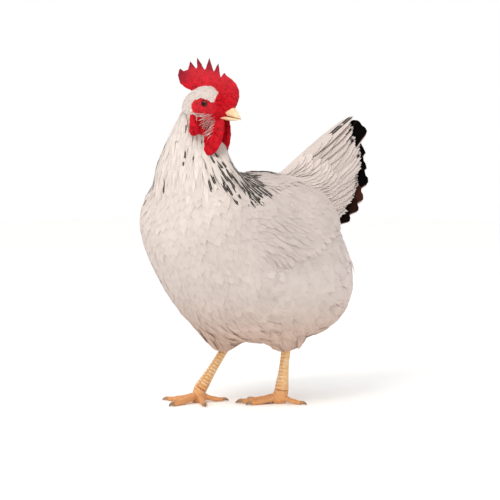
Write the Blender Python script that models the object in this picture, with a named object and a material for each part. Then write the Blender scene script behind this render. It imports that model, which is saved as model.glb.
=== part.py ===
"""A life-size standing hen of the white, black-pointed (Columbian) pattern, head turned to its left.

Run with: blender --background --python part.py
Units are metres, +Z is up, the hen faces -Y and its left side is +X. Everything is modelled about the floor
under the hips, then moved so that the origin is on the floor under the middle of the whole hen. Helper
functions take "forward" distances, which are -Y, so that a bigger number is nearer the breast.
"""

import math
from dataclasses import dataclass

import bmesh
import bpy
from mathutils import Matrix, Vector

MM = 0.001
GAP = 0.35 * MM                 # air between neighbouring solids
RING_POINTS = 22                # points round each body section
STEPS_PER_SECTION = 2           # rings made from one body section to the next
SHARP_ANGLE = math.radians(50)  # edges bent more than this are shaded sharp

# The head's own frame: forward and up from a point between the ears.
HEAD_AT = (20 * MM, 80 * MM, 385 * MM)      # left, forward, up
HEAD_YAW = math.radians(110)                # turned to the hen's left
HEAD_PITCH = math.radians(11)               # nodding down

EYE_RADIUS = 6.0 * MM
EYE_AT = (13.6 * MM, 4 * MM, 2.4 * MM)      # to the side, forward, up, in the head's frame

COMB_BASE_THICKNESS = 9 * MM
COMB_EDGE_THICKNESS = 2.4 * MM
COMB_THICK_UP_TO = 8 * MM                   # height over the head's point where the comb starts to thin
COMB_THINS_OVER = 40 * MM
COMB_SWAY = 3 * MM                          # how far its points lean to one side or the other

WATTLE_LENGTH = 54 * MM
WATTLE_WIDTH = 21.5 * MM                    # across its top; its foot is broader
WATTLE_THICKNESS = 4.6 * MM
WATTLE_AT = (10.5 * MM, 15.5 * MM, -37 * MM)    # its middle: to the side, forward, up from the head's point
WATTLE_LEAN = {1: 5, -1: 17}                # degrees that the left and right one's foot swings out
WATTLE_SLANT = 10 * MM                      # how far its top lies ahead of its foot

EARLOBE_LENGTH = 31 * MM
EARLOBE_WIDTH = 16 * MM
EARLOBE_THICKNESS = 8.5 * MM
EARLOBE_AT = (25.5 * MM, -2 * MM, -24.5 * MM)
EARLOBE_SLANT = math.radians(-22)           # its foot lies ahead of its top
EARLOBE_LEAN = math.radians(-8)

WING_AT = (86 * MM, -13 * MM, 238 * MM)     # the folded left wing's middle: left, forward, up
WING_HALF_LENGTH = 86 * MM
WING_HALF_HEIGHT = 50 * MM
WING_HALF_THICKNESS = 21 * MM
WING_FRONT_THINNING = 0.5                   # share by which the wing thins towards the breast
WING_REAR_NARROWING = 0.42
WING_LEAN = math.radians(-11)               # its upper edge lies in over the back
WING_TOE_IN = math.radians(7)
WING_RISE = math.radians(13)                # its tip is higher than its front

TAIL_FEATHERS_A_SIDE = 7
TAIL_ROOT = (0.0, -72 * MM, 238 * MM)
TAIL_EDGE_THICKNESS = 2.0 * MM
TAIL_ROOT_THICKNESS = 84 * MM
TAIL_ROOT_SPREAD = 14 * MM                  # how far to the side the outermost feather is rooted
TAIL_ROOT_DROP = 6 * MM
TAIL_LIFT = (45, 35)                        # degrees over level of the middle ray, and less at the outermost
TAIL_SWING = (2, 34)                        # degrees to the side of the middle ray, and more at the outermost
TAIL_LENGTH = (208 * MM, 129 * MM)          # length of the middle ray, and less at the outermost
TAIL_STEP = 0.035                           # depth of the notches between the tips, as a share of the length

ANKLE = Vector((0, 2 * MM, 17 * MM))        # the shank's lower end, in the foot's frame
SHANK_HALF_WIDTH = 5.7 * MM
SHANK_HALF_DEPTH = 6.4 * MM
# Each ring's share of those, from the hock to the ankle, where the shank flares into the foot.
SHANK_SHARES = (1.0, 0.97, 0.97, 1.02, 1.13, 1.32, 1.46)
LEG_POINTS = 14                             # points round a shank
FLOOR_BLOCK = (300 * MM, 300 * MM, 100 * MM)    # cuts the feet's flats
TOE_HALF_WIDTH = 5.0 * MM
TOE_ROOT_HEIGHT = 10.0 * MM
TOE_STATIONS = 8
TOE_NAMES = ("inner", "middle", "outer", "hind")


def spot(left, forward, up):
    """A point from its distances to the hen's left, forwards and up."""
    return Vector((left, -forward, up))


# ---------------------------------------------------------------- scene and mesh helpers


def clear_scene():
    """Removes the objects that Blender starts with."""
    for thing in list(bpy.data.objects):
        bpy.data.objects.remove(thing)


def collection_named(name):
    """A new collection in the scene."""
    made = bpy.data.collections.new(name)
    bpy.context.scene.collection.children.link(made)
    return made


def material(name, colour, roughness, coat=0.0):
    """A plain Principled material."""
    made = bpy.data.materials.new(name)
    made.use_nodes = True
    shader = made.node_tree.nodes["Principled BSDF"]
    shader.inputs["Base Color"].default_value = (*colour, 1.0)
    shader.inputs["Roughness"].default_value = roughness
    shader.inputs["Metallic"].default_value = 0.0
    shader.inputs["Coat Weight"].default_value = coat
    return made


def object_of(bm, name, collection, finish=None):
    """Turns a bmesh into a smooth-shaded object in a collection."""
    bmesh.ops.recalc_face_normals(bm, faces=bm.faces)
    mesh = bpy.data.meshes.new(name)
    bm.to_mesh(mesh)
    bm.free()
    mesh.shade_smooth()
    mesh.set_sharp_from_angle(angle=SHARP_ANGLE)
    made = bpy.data.objects.new(name, mesh)
    collection.objects.link(made)
    if finish:
        mesh.materials.append(finish)
    return made


def cutter_of(bm, name, collection):
    """Turns a bmesh into a hidden cutting or joining body."""
    made = object_of(bm, name, collection)
    made.hide_render = True
    made.display_type = "WIRE"
    return made


def boolean(target, tool, operation="DIFFERENCE", solver="EXACT"):
    """Adds a Boolean modifier. Grazing cuts use the manifold solver, as the exact one leaves open edges."""
    step = target.modifiers.new(operation.lower() + "_" + tool.name, "BOOLEAN")
    step.object = tool
    step.operation = operation
    step.solver = solver
    return step


def skin_rings(bm, rings):
    """Joins equal rings of points into one closed tube with flat ends."""
    loops = [[bm.verts.new(p) for p in ring] for ring in rings]
    count = len(loops[0])
    for near, far in zip(loops, loops[1:]):
        for k in range(count):
            n = (k + 1) % count
            bm.faces.new((near[k], near[n], far[n], far[k]))
    bm.faces.new(list(reversed(loops[0])))
    bm.faces.new(loops[-1])
    return bm


def smooth_through(stations, steps):
    """Rings on a smooth curve through the given rings, with steps from each to the next."""
    made = []
    last = len(stations) - 1
    for i in range(last):
        before, here = stations[max(i - 1, 0)], stations[i]
        there, after = stations[i + 1], stations[min(i + 2, last)]
        for s in range(steps):
            t = s / steps
            made.append([curve_point(a, b, c, d, t) for a, b, c, d in zip(before, here, there, after)])
    made.append(stations[last])
    return made


def curve_point(a, b, c, d, t):
    """The Catmull-Rom point between b and c."""
    return 0.5 * (2 * b + (c - a) * t + (2 * a - 5 * b + 4 * c - d) * t * t
                  + (3 * b - a - 3 * c + d) * t * t * t)


def oval(centre, side, front, half_side, half_front, points):
    """A ring of points in the plane of two directions."""
    return [centre + side * half_side * math.cos(a) + front * half_front * math.sin(a)
            for a in (2 * math.pi * k / points for k in range(points))]


# ---------------------------------------------------------------- trunk, neck and head


@dataclass(frozen=True)
class Section:
    """One cross-section of the body, in millimetres: where it meets the top line and the under line of the
    profile, as (forward, up), and its half width. A skew above 0 is wider below its middle. The frame turns
    from the body's own, at 0, to the head's, at 1."""

    top: tuple
    under: tuple
    half_width: float
    skew: float = 0.0
    square: float = 1.0
    turn: float = 0.0


TRUNK_SECTIONS = (
    Section((-155, 161), (-156, 140), 14),
    Section((-152, 190), (-150, 115), 48),
    Section((-143, 220), (-134, 96), 71, 0.1),
    Section((-125, 251), (-108, 82), 86, 0.12, 0.92),
    Section((-90, 288), (-74, 77), 96, 0.1, 0.88),
    Section((-48, 303), (-30, 77), 100, 0.05, 0.86),
    Section((-6, 302), (14, 84), 101, 0.02, 0.86),
    Section((22, 304), (52, 99), 101, -0.03, 0.88),
    Section((38, 307), (81, 126), 97, -0.05, 0.92),
    Section((48, 312), (108, 157), 92, -0.05),
    Section((54, 320), (128, 190), 86, -0.03),
    Section((57, 330), (138, 221), 76, 0.0),
)
NECK_SECTIONS = (
    Section((53, 336), (130, 252), 62, 0.0, 1.0),
    Section((-31, 348), (45, 293), 49, 0.0, 1.0, 0.12),
    Section((-29, 356), (36, 314), 41, 0.0, 1.0, 0.30),
    Section((-30, 365), (27, 334), 35, 0.0, 1.0, 0.55),
    Section((-31, 373), (15, 350), 29, 0.0, 1.0, 0.80),
)
HEAD_SECTIONS = (
    Section((-31, -8), (9, -26), 24, 0.0, 1.0, 1.0),
    Section((-29, 6), (14, -21), 22, 0.0, 1.0, 1.0),
    Section((-17, 19), (19, -17), 19.5, 0.0, 1.0, 1.0),
    Section((-3, 25), (21, -15.5), 17.6, 0.0, 1.0, 1.0),
    Section((9, 24), (23, -14.5), 16.0, 0.0, 1.0, 1.0),
    Section((19, 19), (25, -13.5), 13.0, 0.0, 1.0, 1.0),
    Section((26, 12), (28, -12), 9.0, 0.0, 1.0, 1.0),
    Section((30, 6), (30, -9), 5.0, 0.0, 1.0, 1.0),
)


def head_frame():
    """The head's frame in the body's: local axes are left, backwards and up."""
    return (Matrix.Translation(spot(*HEAD_AT))
            @ Matrix.Rotation(HEAD_YAW, 4, "Z") @ Matrix.Rotation(HEAD_PITCH, 4, "X"))


def neck_frame(turn):
    """A level frame on the neck's axis, partly turned towards the head's yaw. Its heights stay absolute."""
    base_forward = 83 * MM
    left, forward, _ = HEAD_AT
    centre = spot(left * turn * turn, base_forward + (forward - base_forward) * turn, 0)
    return Matrix.Translation(centre) @ Matrix.Rotation(HEAD_YAW * turn, 4, "Z")


def section_ring(section, grow):
    """The points round one section, grown outwards by a distance."""
    frame = Matrix.Identity(4)
    if section.turn == 1.0:
        frame = head_frame()
    elif section.turn > 0:
        frame = neck_frame(section.turn)
    top, under = (spot(0, f * MM, z * MM) for f, z in (section.top, section.under))
    centre = (top + under) / 2
    rise = (top - under) / 2
    rise += rise.normalized() * grow
    half_width = section.half_width * MM + grow
    ring = []
    for k in range(RING_POINTS):
        angle = 2 * math.pi * k / RING_POINTS
        c, s = math.cos(angle), math.sin(angle)
        side = math.copysign(abs(c) ** section.square, c) * (1 - section.skew * s)
        high = math.copysign(abs(s) ** section.square, s)
        ring.append(frame @ (centre + rise * high + Vector((half_width * side, 0, 0))))
    return ring


def body_rings(grow=0.0):
    """Smooth rings from the rump to the bill's root, with the places where the trunk and neck end."""
    sections = TRUNK_SECTIONS + NECK_SECTIONS + HEAD_SECTIONS
    rings = smooth_through([section_ring(s, grow) for s in sections], STEPS_PER_SECTION)
    trunk_end = (len(TRUNK_SECTIONS)) * STEPS_PER_SECTION
    neck_end = (len(TRUNK_SECTIONS) + len(NECK_SECTIONS) + 1) * STEPS_PER_SECTION
    return rings, trunk_end, neck_end


def pushed(ring, towards, distance):
    """A ring moved square to its own plane, towards the next ring."""
    middle = sum(ring, Vector()) / len(ring)
    normal = (ring[0] - middle).cross(ring[len(ring) // 4] - middle).normalized()
    if normal.dot(sum(towards, Vector()) / len(towards) - middle) < 0:
        normal.negate()
    return [p + normal * distance for p in ring]


def flattened(ring):
    """A ring pressed into its own mean plane, so that a cut through it is flat."""
    middle = sum(ring, Vector()) / len(ring)
    normal = (ring[0] - middle).cross(ring[len(ring) // 4] - middle).normalized()
    return [p - normal * (p - middle).dot(normal) for p in ring]


def build_body(parts, finishes):
    """Trunk, neck and head: one lofted form parted by two thin flat cuts."""
    rings, trunk_end, neck_end = body_rings()
    for cut in (trunk_end, neck_end):
        rings[cut] = flattened(rings[cut])
    spans = (("trunk", 0, trunk_end, "feather"), ("neck", trunk_end, neck_end, "feather"),
             ("head", neck_end, len(rings) - 1, "face"))
    for name, first, last, finish in spans:
        piece = [list(r) for r in rings[first:last + 1]]
        if first:
            piece[0] = pushed(piece[0], piece[1], GAP)
        object_of(skin_rings(bmesh.new(), piece), name, parts, finishes[finish])


def grown_body(cutters, grow, name, span="whole"):
    """The body's form, or its trunk or head alone, grown by a distance, to cut what is set against it."""
    rings, trunk_end, neck_end = body_rings(grow)
    if span == "trunk":
        rings = rings[:trunk_end + 1]
    if span == "head":
        rings = rings[neck_end:]
    ends = (0, len(rings) - 1)
    for end, inner in ((0, 1), (ends[1], ends[1] - 1)):
        rings[end] = pushed(rings[end], [2 * a - b for a, b in zip(rings[end], rings[inner])], grow)
    return cutter_of(skin_rings(bmesh.new(), rings), name, cutters)


# ---------------------------------------------------------------- wings, thighs and tail


def build_wing(side, name, parts, finishes, clear_of):
    """A folded wing: a shaped pillow that lies along the flank, sunk into it and cut back to its surface."""
    bm = bmesh.new()
    bmesh.ops.create_uvsphere(bm, u_segments=18, v_segments=10, radius=1.0)
    for vert in bm.verts:
        outward, along, up = vert.co.x, -vert.co.y, vert.co.z
        rearward = max(0.0, -along)
        blunt = 1.0 + 0.2 * (1 - abs(along)) * abs(along)
        taper = 1.0 - WING_REAR_NARROWING * rearward ** 1.6
        thin = (1 - 0.3 * up) * (1 - WING_FRONT_THINNING * max(0.0, along))
        vert.co = Vector((outward * WING_HALF_THICKNESS * thin,
                          -along * WING_HALF_LENGTH * blunt,
                          up * WING_HALF_HEIGHT * taper * blunt))
    turn = Matrix.Rotation(WING_TOE_IN, 4, "Z") @ Matrix.Rotation(WING_LEAN, 4, "Y")
    turn = turn @ Matrix.Rotation(WING_RISE, 4, "X")
    bmesh.ops.transform(bm, matrix=Matrix.Translation(spot(*WING_AT)) @ turn, verts=bm.verts)
    if side < 0:
        bmesh.ops.scale(bm, vec=(-1, 1, 1), verts=bm.verts)
    wing = object_of(bm, name, parts, finishes["feather"])
    boolean(wing, clear_of)


THIGHS = {
    # Distances left, forward and up of the hip and hock, and the radius at each, in millimetres.
    "right": {"hip": (-42, 12, 133), "hock": (-33, -10, 69), "radii": (50, 19)},
    "left": {"hip": (43, -32, 133), "hock": (36, -50, 73), "radii": (54, 22)},
}
THIGH_POINTS = 18
THIGH_STATIONS = (0.0, 0.2, 0.4, 0.6, 0.8, 0.92, 0.99)
THIGH_FLATNESS = 0.86
THIGH_LAST_RING = 0.82          # the lowest ring's share of the cone's radius, which rounds the end


def build_thigh(which, parts, finishes, clear_of):
    """A feathered thigh: a cone from the belly to the hock, rounded at its lower end, with a socket for the
    shank's top."""
    hip, hock = (spot(*(v * MM for v in THIGHS[which][end])) for end in ("hip", "hock"))
    top_radius, low_radius = (r * MM for r in THIGHS[which]["radii"])
    axis = (hock - hip).normalized()
    side = axis.cross(Vector((0, 1, 0))).normalized()
    front = side.cross(axis)
    rings = []
    for share in THIGH_STATIONS:
        radius = top_radius + (low_radius - top_radius) * share ** 0.85
        if share == THIGH_STATIONS[-1]:
            radius *= THIGH_LAST_RING
        rings.append(oval(hip.lerp(hock, share), side, front, radius * THIGH_FLATNESS, radius, THIGH_POINTS))
    thigh = object_of(skin_rings(bmesh.new(), rings), "thigh_" + which, parts, finishes["feather"])
    for tool in clear_of:
        boolean(thigh, tool, solver="MANIFOLD")


def tail_ray(across):
    """Root, direction and length of the tail fan at a place across it, from -1 (right) to 1 (left)."""
    out = abs(across)
    lift = math.radians(TAIL_LIFT[0] - TAIL_LIFT[1] * out ** 1.3)
    swing = math.radians(TAIL_SWING[0] + TAIL_SWING[1] * out) * (1 if across >= 0 else -1)
    length = TAIL_LENGTH[0] - TAIL_LENGTH[1] * out ** 0.9
    direction = spot(math.sin(swing) * math.cos(lift), -math.cos(swing) * math.cos(lift), math.sin(lift))
    left, forward, up = TAIL_ROOT
    root = spot(left + TAIL_ROOT_SPREAD * across, forward, up - TAIL_ROOT_DROP * out)
    return root, direction, length


def build_tail(parts, finishes, clear_of):
    """The tail: a tent-shaped fan, thick over the rump and thin at its stepped feather tips."""
    columns, rows = 6 * TAIL_FEATHERS_A_SIDE, 4
    shells = {}
    bm = bmesh.new()
    for under in (False, True):
        grid = {}
        for i in range(columns + 1):
            across = 2 * i / columns - 1
            root, direction, length = tail_ray(across)
            step = abs(math.sin(math.pi * TAIL_FEATHERS_A_SIDE * abs(across)))
            length *= 1 - TAIL_STEP * (1 - step)
            square = direction.cross(Vector((1, 0, 0))).normalized()
            square = Vector((math.copysign(0.75 * abs(across), across), square.y, square.z)).normalized()
            if square.z < 0:
                square.negate()
            for j in range(rows + 1):
                t = j / rows
                cushion = TAIL_ROOT_THICKNESS / 2 * (1 - 0.7 * across ** 2)
                cushion *= 0.45 * (1 - t) ** 1.4 if under else 1 - t ** 1.3
                half = (TAIL_EDGE_THICKNESS / 2 + cushion) * (-1 if under else 1)
                grid[i, j] = bm.verts.new(root + direction * length * t + square * half)
        shells[under] = grid
        for i in range(columns):
            for j in range(rows):
                bm.faces.new((grid[i, j], grid[i + 1, j], grid[i + 1, j + 1], grid[i, j + 1]))
    rim = ([(i, 0) for i in range(columns)] + [(columns, j) for j in range(rows)]
           + [(i, rows) for i in range(columns, 0, -1)] + [(0, j) for j in range(rows, 0, -1)])
    for a, b in zip(rim, rim[1:] + rim[:1]):
        bm.faces.new((shells[False][a], shells[False][b], shells[True][b], shells[True][a]))
    tail = object_of(bm, "tail", parts, finishes["feather"])
    boolean(tail, clear_of, solver="MANIFOLD")


# ---------------------------------------------------------------- comb, wattles, lobes, bill and eyes

# The comb's free edge in the head's frame, in millimetres forward and up, from the bill to the nape:
# each point of the comb and the notch behind it.
COMB_EDGE = (
    (37.5, 4.5), (39.5, 11.5), (40.5, 19.5), (39, 26.5), (34, 33.5), (27, 38.5), (20, 41), (16, 44.5),
    (11.5, 36.5), (4.6, 54.5), (0.5, 42), (-10, 59.5), (-12, 42.2), (-26, 56.5), (-23, 41.5), (-34, 50.5),
    (-34.5, 40), (-41, 36.5), (-46, 39.5), (-47, 30.5), (-42, 21), (-32, 16.5), (-20, 14),
)
COMB_FOOT = ((-12, 8), (2, 10), (20, 6), (32, 0))


def build_comb(parts, finishes, clear_of):
    """The single comb: an upright blade with six points, thick at its foot and thin at its edge."""
    outline = [spot(0, f * MM, z * MM) for f, z in COMB_EDGE + COMB_FOOT]
    bm = bmesh.new()
    face = bm.faces.new([bm.verts.new(p) for p in outline])
    face.normal_update()
    bmesh.ops.triangulate(bm, faces=[face])
    bmesh.ops.subdivide_edges(bm, edges=bm.edges[:], cuts=1)
    bmesh.ops.triangulate(bm, faces=bm.faces[:])
    sheet = bm.verts[:]
    thickness = {}
    for vert in sheet:
        rise = max(0.0, vert.co.z - COMB_THICK_UP_TO) / COMB_THINS_OVER
        thickness[vert] = (COMB_EDGE_THICKNESS
                           + (COMB_BASE_THICKNESS - COMB_EDGE_THICKNESS) * max(0.0, 1 - rise) ** 1.4)
    copy = bmesh.ops.duplicate(bm, geom=bm.verts[:] + bm.edges[:] + bm.faces[:])
    twin = {a: b for a, b in copy["vert_map"].items() if a in thickness}
    border = [e for e in bm.edges if e.is_boundary and e.verts[0] in thickness]
    for vert in sheet:
        half = thickness[vert] / 2
        height = max(0.0, vert.co.z - 20 * MM) / COMB_THINS_OVER
        sway = COMB_SWAY * math.sin((vert.co.y + 10 * MM) / (14 * MM)) * height
        vert.co.x = sway + half
        twin[vert].co.x = sway - half
    for edge in border:
        a, b = edge.verts
        bm.faces.new((a, b, twin[b], twin[a]))
    bmesh.ops.transform(bm, matrix=head_frame(), verts=bm.verts)
    comb = object_of(bm, "comb", parts, finishes["comb"])
    for tool in clear_of:
        boolean(comb, tool, solver="MANIFOLD")


def hanging_frame():
    """The head's place and yaw without its nod, for what hangs straight down."""
    return Matrix.Translation(spot(*HEAD_AT)) @ Matrix.Rotation(HEAD_YAW, 4, "Z")


def wattle_form(side, grow):
    """A wattle: a flat drop-shaped lobe that hangs from the jaw and rests on the neck."""
    bm = bmesh.new()
    bmesh.ops.create_uvsphere(bm, u_segments=12, v_segments=8, radius=1.0)
    for vert in bm.verts:
        out, back, up = vert.co
        low = (1 - up) / 2
        width = WATTLE_WIDTH / 2 * (1 + 0.6 * low ** 1.5) + grow
        vert.co = Vector((out * (WATTLE_THICKNESS / 2 * (0.75 + 0.5 * low) + grow),
                          back * width - (0.5 - low) * WATTLE_SLANT,
                          up * (WATTLE_LENGTH / 2 + grow)))
    lean = Matrix.Rotation(math.radians(-WATTLE_LEAN[side]) * side, 4, "Y")
    left, forward, up = WATTLE_AT
    place = hanging_frame() @ Matrix.Translation(spot(side * left, forward, up)) @ lean
    bmesh.ops.transform(bm, matrix=place, verts=bm.verts)
    return bm


def earlobe_form(side, grow):
    """An ear lobe: a small leaf-shaped flap behind the jaw."""
    bm = bmesh.new()
    bmesh.ops.create_uvsphere(bm, u_segments=10, v_segments=6, radius=1.0)
    for vert in bm.verts:
        out, back, up = vert.co
        low = (1 - up) / 2
        vert.co = Vector((out * (EARLOBE_THICKNESS / 2 + grow),
                          back * (EARLOBE_WIDTH / 2 * (0.42 + 1.05 * low * low) + grow),
                          up * (EARLOBE_LENGTH / 2 + grow)))
    tilt = Matrix.Rotation(EARLOBE_SLANT, 4, "X") @ Matrix.Rotation(EARLOBE_LEAN * side, 4, "Y")
    left, forward, up = EARLOBE_AT
    place = head_frame() @ Matrix.Translation(spot(side * left, forward, up)) @ tilt
    bmesh.ops.transform(bm, matrix=place, verts=bm.verts)
    return bm


def build_hanging(form, side, name, parts, cutters, finishes, clear_of):
    """A wattle or lobe, cut where it meets the head, bill or back, in a hollow of its own in the neck."""
    made = object_of(form(side, 0.0), name, parts, finishes["comb"])
    for tool in clear_of:
        boolean(made, tool, solver="MANIFOLD")
    hollow = cutter_of(form(side, GAP), name + "_grown", cutters)
    boolean(bpy.data.objects["neck"], hollow, solver="MANIFOLD")


# Each station of the bill: forward, top, bottom and half width, in millimetres in the head's frame.
UPPER_BILL = (
    (18, 6, -7.6, 9.5), (25, 7.5, -7.6, 8.6), (31, 7, -7.7, 7.2), (36.3, 4.6, -7.8, 5.9),
    (41, 0.8, -7.9, 4.4), (44.9, -3.0, -8.0, 2.8), (47.4, -6.0, -8.8, 1.3), (48.6, -8.6, -10.0, 0.5),
)
LOWER_BILL = (
    (18, -8.0, -13.5, 8.4), (25, -8.1, -13.2, 7.4), (32, -8.2, -12.7, 6.0), (37.8, -8.3, -12.0, 4.4),
    (41.8, -8.35, -11.2, 3.0), (44.6, -8.45, -10.4, 1.5), (45.8, -8.9, -10.0, 0.6),
)


def bill_rings(profile, grow=0.0, points=12):
    """Rings across the bill from (forward, top, bottom, half width) stations in millimetres, grown outwards
    by a distance."""
    rings = []
    for forward, top, bottom, half in profile:
        middle, rise = (top + bottom) / 2 * MM, (top - bottom) / 2 * MM + grow
        ring = []
        for k in range(points):
            angle = 2 * math.pi * k / points
            ring.append(head_frame() @ spot((half * MM + grow) * math.cos(angle), forward * MM,
                                            middle + rise * math.sin(angle)))
        rings.append(ring)
    return rings


def build_bill(parts, cutters, finishes, clear_of):
    """The upper and lower bill, parted along the mouth, and what cuts the comb and wattles clear of them."""
    grown = []
    for name, profile in (("bill_upper", UPPER_BILL), ("bill_lower", LOWER_BILL)):
        bill = object_of(skin_rings(bmesh.new(), bill_rings(profile)), name, parts, finishes["bill"])
        boolean(bill, clear_of, solver="MANIFOLD")
        grown.append(cutter_of(skin_rings(bmesh.new(), bill_rings(profile, GAP)), name + "_grown", cutters))
    return grown


def build_eye(side, name, parts, cutters, finishes):
    """An eyeball and the socket cut for it in the head."""
    left, forward, up = EYE_AT
    place = head_frame() @ Matrix.Translation(spot(side * left, forward, up))
    for radius, label in ((EYE_RADIUS, name), (EYE_RADIUS + GAP, name + "_socket")):
        bm = bmesh.new()
        bmesh.ops.create_uvsphere(bm, u_segments=14, v_segments=8, radius=radius,
                                  matrix=place @ Matrix.Rotation(math.pi / 2, 4, "Y"))
        if label == name:
            object_of(bm, label, parts, finishes["eye"])
        else:
            boolean(bpy.data.objects["head"], cutter_of(bm, label, cutters))


# ---------------------------------------------------------------- legs


@dataclass(frozen=True)
class Leg:
    """One leg, in millimetres and degrees: where its foot stands (left, forward), which way its middle toe
    points from straight ahead (positive to the hen's left), where the shank's top is (left, forward, up), and
    each toe's angle from the middle one (positive towards the hen's outer side)."""

    side: int
    stands: tuple
    heading: float
    hock: tuple
    toe_angles: dict


LEGS = {
    "right": Leg(-1, (-50, 29), 5, (-34, -7, 74), {"inner": -51, "middle": 0, "outer": 62, "hind": -140}),
    "left": Leg(1, (32, -39), -40, (35, -48, 76), {"inner": -28, "middle": 0, "outer": 22, "hind": 146}),
}
CLAW_RINGS = 5
CLAW_POINTS = 8
# Each toe's length without its claw, thickness share and claw length.
TOES = {"inner": (40, 0.92, 11), "middle": (49, 1.0, 12), "outer": (42, 0.9, 10.5), "hind": (31, 0.8, 10.5)}


def leg_frame(leg):
    """The foot's place on the floor, and its heading."""
    left, forward = leg.stands
    turn = Matrix.Rotation(math.radians(leg.heading), 4, "Z")
    return Matrix.Translation(spot(left * MM, forward * MM, 0)) @ turn


def shank_rings(leg, grow=0.0, past_ends=0.0):
    """Rings down the shank from the hock to the ankle, grown outwards and lengthened by given distances."""
    top = spot(*(v * MM for v in leg.hock))
    foot = leg_frame(leg) @ ANKLE
    axis = (foot - top).normalized()
    side = leg_frame(leg).to_3x3() @ Vector((1, 0, 0))
    side = (side - axis * side.dot(axis)).normalized()
    front = side.cross(axis)
    rings = []
    for i, share in enumerate(SHANK_SHARES):
        t = i / (len(SHANK_SHARES) - 1)
        centre = (top - axis * past_ends).lerp(foot + axis * past_ends, t)
        half_side, half_front = SHANK_HALF_WIDTH * share + grow, SHANK_HALF_DEPTH * share + grow
        rings.append(oval(centre, side, front, half_side, half_front, LEG_POINTS))
    return rings


def build_shank(which, leg, parts, cutters, finishes):
    """The scaly shank, and what cuts the thigh and foot clear of it."""
    object_of(skin_rings(bmesh.new(), shank_rings(leg)), "shank_" + which, parts, finishes["leg"])
    grown = skin_rings(bmesh.new(), shank_rings(leg, GAP, GAP * 0.9))
    return cutter_of(grown, f"shank_{which}_grown", cutters)


def toe_path(kind, leg):
    """Centre points and half heights along a toe, in the leg's frame, with its direction."""
    length, thick, _ = TOES[kind]
    turn = math.radians(leg.toe_angles[kind]) * leg.side
    direction = Matrix.Rotation(turn, 3, "Z") @ Vector((0, -1, 0))
    stations = []
    for i in range(TOE_STATIONS):
        t = i / (TOE_STATIONS - 1)
        half = TOE_HALF_WIDTH * thick * (1.12 - 0.42 * t) * (1 + 0.09 * math.cos(2 * math.pi * 3 * t))
        drop = (1 - t) ** 2.2
        height = (half * 0.86) * (1 - drop) + TOE_ROOT_HEIGHT * drop
        stations.append((direction * length * MM * t + Vector((0, 0, height)), half))
    return stations, direction


def toe_rings(kind, leg, points=8):
    """The rings of one toe in world space."""
    stations, direction = toe_path(kind, leg)
    side = Vector((0, 0, 1)).cross(direction)
    up = Vector((0, 0, 1))
    frame = leg_frame(leg)
    ovals = [oval(centre, side, up, half, half * 0.95, points) for centre, half in stations]
    return [[frame @ p for p in ring] for ring in ovals]


# The foot's pad, in millimetres: each ring's height, half widths across and along, and shift forwards.
PAD = ((9.0, 9.4, 10.4, 0.5), (4.5, 10.0, 11.0, 1), (1.0, 8.0, 9.2, 1.5), (-1.2, 5.5, 6.5, 1.5))


def build_foot(which, leg, parts, cutters, finishes, clear_of):
    """Four toes and the pad that joins them, with flats underneath at floor level."""
    frame = leg_frame(leg)
    side, behind = frame.to_3x3() @ Vector((1, 0, 0)), frame.to_3x3() @ Vector((0, 1, 0))
    ankle = shank_rings(leg, 0.0, GAP)[-1]
    rings = [ankle]
    for height, half_side, half_front, shift in PAD:
        centre = frame @ spot(0, shift * MM, height * MM)
        rings.append(oval(centre, side, behind, half_side * MM, half_front * MM, LEG_POINTS))
    foot = object_of(skin_rings(bmesh.new(), rings), "foot_" + which, parts, finishes["leg"])
    for kind in TOE_NAMES:
        toe = cutter_of(skin_rings(bmesh.new(), toe_rings(kind, leg)), f"toe_{kind}_{which}", cutters)
        boolean(foot, toe, "UNION")
    floor = bmesh.new()
    middle = frame.translation - Vector((0, 0, FLOOR_BLOCK[2] / 2))
    block = Matrix.Translation(middle) @ Matrix.Diagonal((*FLOOR_BLOCK, 1))
    bmesh.ops.create_cube(floor, size=1.0, matrix=block)
    boolean(foot, cutter_of(floor, "floor_" + which, cutters))
    boolean(foot, clear_of)


def build_claws(which, leg, parts, finishes):
    """A curved claw on the end of each toe."""
    frame = leg_frame(leg)
    for kind in TOE_NAMES:
        stations, direction = toe_path(kind, leg)
        centre, half = stations[-1]
        length = TOES[kind][2] * MM
        side = Vector((0, 0, 1)).cross(direction)
        rings = []
        for i in range(CLAW_RINGS):
            t = i / (CLAW_RINGS - 1)
            dip = math.radians(4 + 34 * t)
            lean = direction * math.cos(dip) - Vector((0, 0, 1)) * math.sin(dip)
            up = side.cross(lean) * -1
            bend = direction * (GAP + length * math.sin(t * 1.2) / 1.2) + Vector((0, 0, 1)) * (
                0.7 * MM - length * 0.26 * t * t)
            radius = half * (0.80 * (1 - t) ** 0.75 + 0.10)
            ring = oval(centre + bend, side, up, radius * 0.8, radius, CLAW_POINTS)
            rings.append([frame @ p for p in ring])
        rings[0] = [frame @ p for p in oval(centre + direction * GAP + Vector((0, 0, 0.5 * MM)), side,
                                            Vector((0, 0, 1)), half * 0.74, half * 0.82, CLAW_POINTS)]
        object_of(skin_rings(bmesh.new(), rings), f"claw_{kind}_{which}", parts, finishes["claw"])


# ---------------------------------------------------------------- the hen


def centre_on_floor(*collections):
    """Hangs everything on one empty, placed so that the origin is on the floor under the middle of the box
    round the whole hen."""
    bpy.context.view_layer.update()
    scene_now = bpy.context.evaluated_depsgraph_get()
    corners = []
    for part in collections[0].objects:
        shape = part.evaluated_get(scene_now)
        corners += [shape.matrix_world @ Vector(corner) for corner in shape.bound_box]
    low = Vector([min(c[k] for c in corners) for k in range(3)])
    high = Vector([max(c[k] for c in corners) for k in range(3)])
    root = bpy.data.objects.new("hen_root", None)
    bpy.context.scene.collection.objects.link(root)
    root.location = (-(low.x + high.x) / 2, -(low.y + high.y) / 2, -low.z)
    for collection in collections:
        for thing in collection.objects:
            thing.parent = root
    bpy.context.view_layer.update()


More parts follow.
